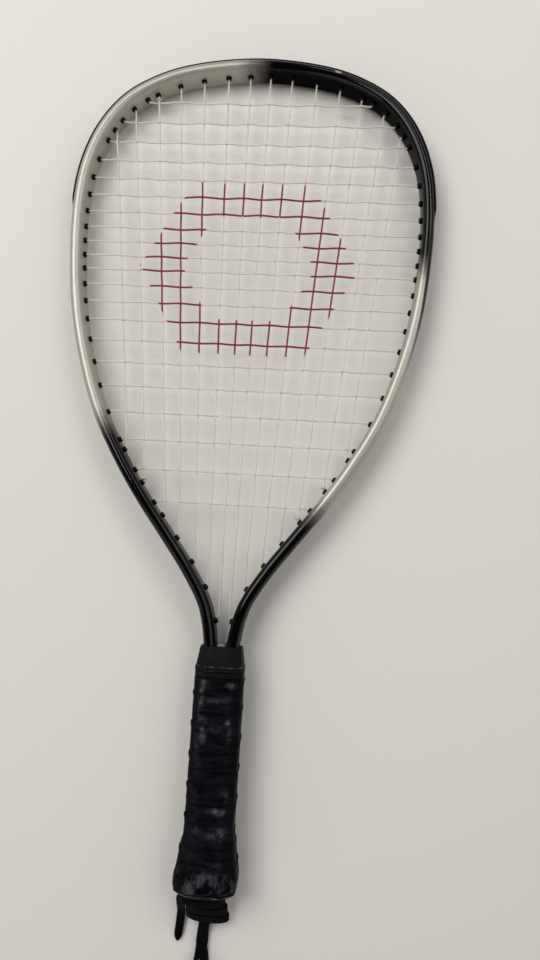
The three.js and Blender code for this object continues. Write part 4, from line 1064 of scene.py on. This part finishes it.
def octagon(size, down, corner):
    """An octagon across the handle, so wide and deep, with rounded corners."""
    w, d = np.asarray(size) / 2
    facet = GRIP_FACET / GRIP[0]
    quarter = [(w, facet * d), (facet * w, d)]
    half = quarter + [(-x, z) for x, z in reversed(quarter)]
    corners = np.array(half + [(-x, -z) for x, z in half])
    made = []
    for k, point in enumerate(corners):
        ahead = corners[(k + 1) % len(corners)]
        start = point + unit(corners[k - 1] - point) * corner
        end = point + unit(ahead - point) * corner
        for t in np.linspace(0, 1, CORNER_STEPS + 1):
            made.append((1 - t) ** 2 * start + 2 * t * (1 - t) * point + t * t * end)
        facet_end = ahead + unit(point - ahead) * corner
        made += [end + (facet_end - end) * t for t in FACET_SHARES]
    return place(np.array(made)[:, 0], down, np.array(made)[:, 1])


def octagons(rows, corner):
    """Rings for rows of (down, size)."""
    return [octagon(size, down, corner) for down, size in rows]


def make_collar(painted):
    rows = [(LOOP_LENGTH + v, COLLAR_TOP - less) for v, less, _ in COLLAR_TOP_ROWS]
    rows += [(COLLAR_END - COLLAR_STEP + v, GRIP - less) for v, *less, _ in COLLAR_STEP_ROWS]
    # Paler rows: painted highlights along the collar's top edge and step edges
    wear = np.array([row[-1] for row in COLLAR_TOP_ROWS + COLLAR_STEP_ROWS])[:, None]
    shape = Shape().add(world(octagons(rows, COLLAR_CORNER)), wear=wear)
    return shape.build("collar_moulding", painted, "black_plastic", ["grip_collar"], 30)


def make_plug(painted):
    width = THROAT_SPACING - TUBE_WIDTH - 2 * SEAT_GAP
    rings = []
    for down, share in PLUG_ROWS:
        size = (width * share, PLUG_DEPTH * (1 + share) / 2)
        x, z = squared(*circle(PLUG_SIDES), PLUG_SQUARENESS, size)
        rings.append(place(x, LOOP_LENGTH - PLUG_RISE + down, z))
    return Shape().add(world(rings)).build("plug_moulding", painted, "plug", ["throat_plug"], 50)


def make_finishing_tape(painted):
    outside, inside = GRIP - 2 * TAPE_THICKNESS, SHELL + TAPE_LINING
    end = TAPE_START + TAPE_LENGTH
    rows = [
        (TAPE_START, outside - TAPE_EDGE),
        (TAPE_START + TAPE_EDGE, outside + TAPE_CROWN),
        (end - TAPE_EDGE, outside + TAPE_CROWN),
        (end, outside - TAPE_EDGE),
        (end, inside),
        (TAPE_START, inside),
    ]
    shape = Shape().add(world(octagons(rows, TAPE_CORNER)), closed=True)
    return shape.build("tape_band", painted, "tape", ["finishing_tape"], 30)


def flare_rows(margin):
    """The butt cap's outside with a margin, as rows of (down, size)."""
    start = SHELL + 2 * (BUTT_EDGE_WALL + SEAT_GAP)
    end = BUTT - 2 * (GRIP_THICKNESS + SEAT_GAP)
    return [
        (BUTT_CAP_START + down * BUTT_CAP_LENGTH, start + out * (end - start) + 2 * margin)
        for down, out in FLARE_SHARES
    ]


def grip_outside():
    """The grip's outside, smoothed and rounded off at its lower edge: how far down, and sizes."""
    flare = flare_rows(SEAT_GAP + GRIP_THICKNESS)
    straight = [(GRIP_START, GRIP), (BUTT_CAP_START - FLARE_LEAD, GRIP)]
    known, sizes = zip(*straight, *flare, (GRIP_END, flare[-1][1]))
    down = span(GRIP_START, GRIP_END, GRIP_STEP)
    kernel = np.hanning(GRIP_SMOOTHING) / np.hanning(GRIP_SMOOTHING).sum()
    left = np.clip((GRIP_END - down) / GRIP_ROUNDING, 0, 1)
    rounding = GRIP_ROUNDING * (1 - np.sqrt(1 - (1 - left) ** 2))
    made = []
    for column in np.array(sizes).T:
        size = np.pad(np.interp(down, known, column), GRIP_SMOOTHING // 2, mode="edge")
        made.append(np.convolve(size, kernel, mode="valid") - rounding)
    return down, np.stack(made, axis=-1)


def wrap_height(down, around):
    """How far the grip stands proud where its strip laps over the turn before, by place."""
    phase = np.mod((down - GRIP_START) / WRAP_PITCH - around / (2 * math.pi), 1.0) * WRAP_PITCH
    lap = smooth(phase / WRAP_EDGE) * (1 - smooth((phase - WRAP_SEAM) / WRAP_FALL))
    off = zip((phase, WRAP_PITCH - phase), WRAP_DIP_WIDTHS)
    return WRAP_STEP * lap - WRAP_DIP * sum(np.exp(-((far / width) ** 2)) for far, width in off)


def rumpled(points, scale, seed):
    """A smooth, repeatable unevenness from -1 to 1."""
    total = 0
    for k, wave in enumerate(RUMPLE_WAVES, 1):
        total = total + np.sin(points * scale @ np.array(wave) + seed * k * RUMPLE_SHIFT + k)
    return total / len(RUMPLE_WAVES)


def grip_wear(points, down):
    """Where hands have rubbed the grip grey: patches on its front and along its edges."""
    x, z = points[..., 0], points[..., 2]
    patches = sum(
        strength * np.exp(-(((x - across) / wide) ** 2) - (((down - v) / tall) ** 2))
        for across, v, wide, tall, strength in GRIP_SCUFFS
    )
    edges = EDGE_WEAR * np.exp(-(((np.abs(x) - GRIP_FACET / 2) / WEAR_WIDTH) ** 2))
    rim = RIM_WEAR * smooth((down - GRIP_END + WEAR_WIDTH) / RIM_WEAR_BLEND)
    return smooth(z / FRONT_RISE) * (patches + edges) + rim


def make_grip(painted):
    v, sizes = grip_outside()
    rings = np.array(octagons(zip(v, sizes), GRIP_CORNER))
    outward = unit(rings * np.array([1, 0, 1]))
    around = np.arctan2(rings[..., 2], rings[..., 0])
    down = TIP_Y - rings[..., 1]
    ends = smooth((down - GRIP_START) / 2) * smooth((GRIP_END - down) / 2)
    edge = down + GATHER_UNEVENNESS * rumpled(rings, SWAY_SCALE, seed=4)
    gathered = smooth((edge - GATHER_START) / GATHER_BLEND)
    uneven = sum(height * rumpled(rings, scale, seed) for height, scale, seed in UNEVENNESS)
    sway = rumpled(rings * SWAY_STRETCH, SWAY_SCALE, seed=3)
    pleats = sum(np.sin(around * count + far * sway) for count, far in PLEATS) / len(PLEATS)
    proud = wrap_height(down, around) * (1 - gathered) + uneven + PLEAT_DEPTH * pleats * gathered
    outside = rings + outward * (proud * ends - GRIP_SINK)[..., None]
    inside = [
        (GRIP_END, sizes[-1] - GRIP_LIP),
        *reversed(flare_rows(FLARE_LINING)),
        (BUTT_CAP_START - FLARE_LEAD / 2, SHELL + GRIP_LINING),
        (GRIP_START, SHELL + GRIP_LINING),
        (GRIP_START, sizes[0] - GRIP_LIP),
    ]
    hidden = np.zeros((len(inside), rings.shape[1]))
    values = {
        "wear": np.vstack([grip_wear(rings, down), hidden]),
        "gathered": np.vstack([gathered, hidden]),
    }
    shape = Shape().add(world([*outside, *octagons(inside, GRIP_CORNER)]), closed=True, **values)
    return shape.build("leather_grip", painted, "grip", ["grip_tape"], 50)


def rounded_slot(size, down):
    """The strap's slot as a ring with as many points as an octagon, each facing its own."""
    outline = octagon(SLOT_LAYOUT, down, COLLAR_CORNER)
    angles = np.arctan2(outline[:, 2], outline[:, 0])
    x, z = squared(np.cos(angles), np.sin(angles), SLOT_SQUARENESS, size)
    return place(x, down, z)


def make_butt_cap(painted):
    flare = flare_rows(0)
    size = flare[-1][1]
    rows = [*flare, (GRIP_END + BUTT_RIM_START, size)]
    bare = len(rows)
    rows += [(OVERALL_LENGTH - left, size + 2 * out) for left, out, _ in DOME_ROWS]
    inner_end = OVERALL_LENGTH - BUTT_END_WALL
    cavity = SHELL + 2 * SEAT_GAP
    inside = [
        rounded_slot(STRAP_SLOT + SLOT_MOUTH, OVERALL_LENGTH),
        rounded_slot(STRAP_SLOT, OVERALL_LENGTH - SLOT_EDGE),
        rounded_slot(STRAP_SLOT, inner_end),
        *octagons([(inner_end, cavity), (BUTT_CAP_START, cavity)], COLLAR_CORNER),
    ]
    wear = np.array([0] * bare + [row[-1] for row in DOME_ROWS] + [0] * len(inside))[:, None]
    shape = Shape().add(world([*octagons(rows, GRIP_CORNER), *inside]), closed=True, wear=wear)
    return shape.build("butt_moulding", painted, "black_plastic", ["butt_cap"], 40)


# Wrist strap, laid out in the row frame, in millimetres


SLOT = world(place(0, OVERALL_LENGTH)) / MM


def in_knot(across, along, out):
    c, s = math.cos(KNOT_SLOPE), math.sin(KNOT_SLOPE)
    y = SLOT[1] - KNOT_SETBACK - along * c - out * s
    z = SLOT[2] - KNOT_DROP - along * s + out * c
    return np.array([across, y, z])


def beyond(across, reach, up):
    lean = STEM_LEAN * smooth(reach / STEM_REACH)
    return np.array([across - lean, SLOT[1] - reach, up])


def banded(places, rolls, width):
    """Webbing along a curve: its line, the direction of its width and its width at each point."""
    line = curve_through(places, BAND_STEPS)
    roll = np.interp(np.arange(len(line)) / BAND_STEPS, np.arange(len(rolls)), rolls) * math.pi / 2
    both = at_steps(np.column_stack([line, roll]), STRAP_STEP)
    line, roll = both[:, :3], both[:, 3]
    rise = np.abs(np.sin(roll)) * width / 2 + np.abs(np.cos(roll)) * STRAP_THICKNESS / 2
    line[:, 2] = np.maximum(line[:, 2], rise + SURFACE_GAP)
    along = unit(np.gradient(line, axis=0))
    level = unit(np.cross(UP, along))
    upright = np.cross(along, level)
    across = level * np.cos(roll)[:, None] + upright * np.sin(roll)[:, None]
    return line, across, np.full(len(line), width)


def knot_advance(turns):
    """How many pitches the knot's strap has gone on after so many turns: it goes on at the back."""
    whole, part = divmod(turns, 1)
    return whole + 0.5 * smooth(4 * part) + 0.5 * smooth(4 * part - 3)


def knot_turns():
    """The turns of the slip knot: on the right they fan out and stand further from the butt."""
    turns = []
    for i in range(round(KNOT_TURNS * KNOT_TURN_STEPS) + 1):
        angle = 2 * math.pi * i / KNOT_TURN_STEPS - math.pi / 2
        along = KNOT_PITCH * (KNOT_TURNS - knot_advance(i / KNOT_TURN_STEPS))
        fanned = max(0, math.cos(angle)) * smooth(KNOT_FAN_RISE * along / KNOT_END)
        across = (KNOT_HALF_WIDTH + KNOT_EAR * fanned) * math.cos(angle)
        turns.append(in_knot(across, along + KNOT_FAN * fanned, KNOT_HALF_HEIGHT * math.sin(angle)))
    first = turns[0] + unit(turns[0] - turns[1]) * KNOT_STRAP_WIDTH
    last = turns[-1] + unit(turns[-1] - turns[-2]) * KNOT_STRAP_WIDTH
    line = np.array([first, *turns, last])
    return line, np.broadcast_to(KNOT_AXIS, line.shape), np.full(len(line), KNOT_STRAP_WIDTH)


def wrist_loop():
    """The strap out of its slot and through the knot, round its loop, and back into the knot."""
    half = STRAP_THICKNESS / 2
    low = half + SURFACE_GAP
    high = low + STRAP_THICKNESS + SEAT_GAP
    edge = STRAP_WIDTH / 2 + SURFACE_GAP
    lean = half + SEAT_GAP / 2
    out = [
        beyond(0, -BUTT_END_WALL, SLOT[2]),
        beyond(0, SEAT_GAP, SLOT[2]),
        in_knot(0, 0, lean),
        in_knot(0, KNOT_END / 2, -lean / 4),
        in_knot(0, KNOT_END, -lean),
        beyond(0, STEM_REACH * STEM_LOW_SHARE, low),
        beyond(0, STEM_REACH, low),
    ]
    reach = LOOP_REACH - STEM_REACH
    loop = [beyond(a * LOOP_HALF_WIDTH, STEM_REACH + b * reach, edge) for a, b in WRIST_LOOP_SHARES]
    back = [
        beyond(0, STEM_REACH, high),
        beyond(0, STEM_REACH * STEM_HIGH_SHARE, high),
        in_knot(0, KNOT_END, lean),
        in_knot(0, KNOT_END / 2, 2 * lean - SEAT_GAP),
    ]
    rolls = [0] * len(out) + [-1] * len(loop) + [-2] * len(back)
    return banded([*out, *loop, *back], rolls, STRAP_WIDTH)


def strap_tail(start):
    """The strap's free end, from the knot down onto the surface beside it."""
    half = STRAP_THICKNESS / 2
    beside = -(KNOT_HALF_WIDTH + half + 2 * SEAT_GAP + TAIL_WIDTH / 2)
    places = [
        start,
        *[in_knot(beside * share, along, KNOT_HALF_HEIGHT * up) for share, along, up in TAIL_BEND],
        in_knot(beside, KNOT_END / 2, -half),
        in_knot(beside, KNOT_END, -STRAP_THICKNESS),
        beyond(beside, STRAP_TAIL_REACH, half + SURFACE_GAP),
    ]
    slope = -KNOT_SLOPE / (math.pi / 2)
    line, across, _ = banded(places, [slope, slope / 2, 0, 0, 0, 0], KNOT_STRAP_WIDTH)
    far = lengths_along(line)
    width = KNOT_STRAP_WIDTH + (TAIL_WIDTH - KNOT_STRAP_WIDTH) * smooth(far / far[-1] * 3)
    rounding = np.clip((far[-1] - far) / TAIL_ROUNDING, 0, 1)
    return line, across, width * np.sqrt(1 - TAIL_BLUNTNESS * (1 - rounding) ** 2)


def joined(a, b):
    """A short hidden stretch between two stretches of the strap."""
    (line_a, across_a, width_a), (line_b, across_b, width_b) = a, b
    t = np.linspace(0, 1, JOIN_STEPS + 2)[1:-1, None]
    pull = np.linalg.norm(line_b[0] - line_a[-1])
    start, end = unit(line_a[-1] - line_a[-2]) * pull, unit(line_b[1] - line_b[0]) * pull
    h1, h2 = 2 * t**3 - 3 * t**2 + 1, 3 * t**2 - 2 * t**3
    line = h1 * line_a[-1] + h2 * line_b[0] + (t**3 - 2 * t**2 + t) * start + (t**3 - t**2) * end
    across = unit(across_a[-1] * (1 - t) + across_b[0] * t + 1e-6)
    return line, across, width_a[-1] + (width_b[0] - width_a[-1]) * t[:, 0]


def webbing_rings(line, across, width):
    """Flat ribbed webbing: its ribs run along it, and it is thinner at its edges."""
    along = unit(np.gradient(line, axis=0))
    side = unit(across - along * np.sum(across * along, axis=1, keepdims=True))
    up = np.cross(along, side)
    shares = np.linspace(-1, 1, 4 * STRAP_RIBS + 1)
    thick = 1 - RIB_DEPTH + RIB_DEPTH * np.cos(shares * STRAP_RIBS * math.pi)
    thick *= np.sqrt(np.clip(1.04 - np.abs(shares) ** EDGE_POWER, THINNEST_EDGE, 1))
    w = np.concatenate([shares, shares[::-1]])
    t = np.concatenate([thick, -thick[::-1]]) * STRAP_THICKNESS / 2
    out = side[:, None] * (w * width[:, None] / 2)[..., None]
    return line[:, None] + out + up[:, None] * t[None, :, None]


def make_strap(painted):
    """The strap in one piece, and the path of its middle."""
    loop, turns = wrist_loop(), knot_turns()
    free = [part[1:] for part in strap_tail(turns[0][-1])]
    parts = [loop, joined(loop, turns), turns, free]
    line, across, width = (np.concatenate([p[k] for p in parts]) for k in range(3))
    rings = webbing_rings(line, across, width)
    rings[..., 2] = np.maximum(rings[..., 2], 0)
    replaced = ["strap_loop", "strap_knot", "strap_tail"]
    strap = Shape().add(rings * MM).build("wrist_strap", painted, "webbing", replaced, 60)
    return strap, line * MM


def make_anchor(painted):
    """The overhand knot that keeps the strap in the butt cap."""
    turns = np.linspace(0, ANCHOR_TURNS * 2 * math.pi, ANCHOR_STEPS)
    deep = BUTT_END_WALL + SEAT_GAP + ANCHOR_SETBACK + ANCHOR_ADVANCE * turns / turns[-1]
    x, z = ANCHOR_RADIUS * np.cos(turns), ANCHOR_RADIUS * np.sin(turns)
    line = SLOT + np.stack([x, deep, z], axis=-1)
    across = np.broadcast_to(np.array([0, 1.0, 0]), line.shape)
    rings = webbing_rings(line, across, np.full(len(line), ANCHOR_STRAP_WIDTH))
    shape = Shape().add(rings * MM)
    return shape.build("strap_anchor_knot", painted, "webbing", ["strap_anchor"], 60)


# Stage: a pale floor, soft light and a pale surround


def make_stage(painted):
    corners = [(x * FLOOR_HALF, y * FLOOR_HALF, 0) for x, y in ((-1, -1), (1, -1), (1, 1), (-1, 1))]
    mesh = bpy.data.meshes.new("floor")
    mesh.from_pydata(corners, [], [(0, 1, 2, 3)])
    mesh.materials.append(painted)
    floor = linked("floor", mesh)
    floor.location.z = -FLOOR_DROP


def make_surround():
    """A pale surround that is dimmer overhead."""
    m = Nodes(bpy.data.worlds.new("surround"), "Background")
    direction = m.node("ShaderNodeTexCoord").outputs["Generated"]
    height = m.node("ShaderNodeSeparateXYZ", {0: direction}).outputs["Z"]
    share = m.spread(height, PALE_BELOW, DIM_ABOVE)
    m.set(Color=m.mix(share, colour(*PALE_SURROUND), colour(*DIM_SURROUND)))
    bpy.context.scene.world = m.owner


def make_light(name, where, size, power):
    """An area light aimed at the racket's middle."""
    data = bpy.data.lights.new(name, "AREA")
    data.shape = "ELLIPSE" if size[0] == size[1] else "RECTANGLE"
    data.size, data.size_y = size
    data.energy = power
    data.color = LIGHT_TINT
    back = Vector(where).normalized()
    level = Vector((back.y, -back.x, 0)).normalized()
    stand(linked(name, data), (level, back.cross(level), back), where)


def paint_inside_pieces(shell, steel):
    """The CAD pieces that stay as they are, inside the handle."""
    shells = ["handle_front_shell", "handle_back_shell"]
    screws = [f"handle_screw_{k}" for k in (1, 2, 3)] + ["butt_screw_left", "butt_screw_right"]
    for names, painted in ((shells, shell), (screws, steel)):
        for name in names:
            mesh = frame["nodes"][name].data
            mesh.materials.clear()
            mesh.materials.append(painted)


def make_everything():
    bpy.context.scene.view_settings.view_transform = "Standard"
    make_camera()
    cloth = webbing()
    strap, path = make_strap(cloth)
    anchor = make_anchor(cloth)
    plastic = black_plastic("black_plastic")
    make_frame(frame_paint())
    # The guard's paler colour: scuffs, and a painted highlight near the tip
    make_bumper(black_plastic("bumper_plastic", 0.55, (196, 194, 188)))
    make_strip("grommet_strip_left", -1, plastic)
    make_strip("grommet_strip_right", 1, plastic)
    make_strings(string_nylon())
    # The collar's paler colour stands for painted highlights along its edges
    make_collar(black_plastic("collar_plastic", 0.55))
    make_plug(plug_rubber())
    make_finishing_tape(vinyl_tape())
    make_grip(grip_leather())
    make_butt_cap(black_plastic("butt_plastic", 0.5, (150, 147, 144)))
    paint_inside_pieces(moulded_shell(), zinc_steel())
    make_stage(stage_paint())
    make_surround()
    for name, (where, size, power) in LIGHTS.items():
        make_light(name, where, size, power)


make_everything()

bpy.context.view_layer.update()
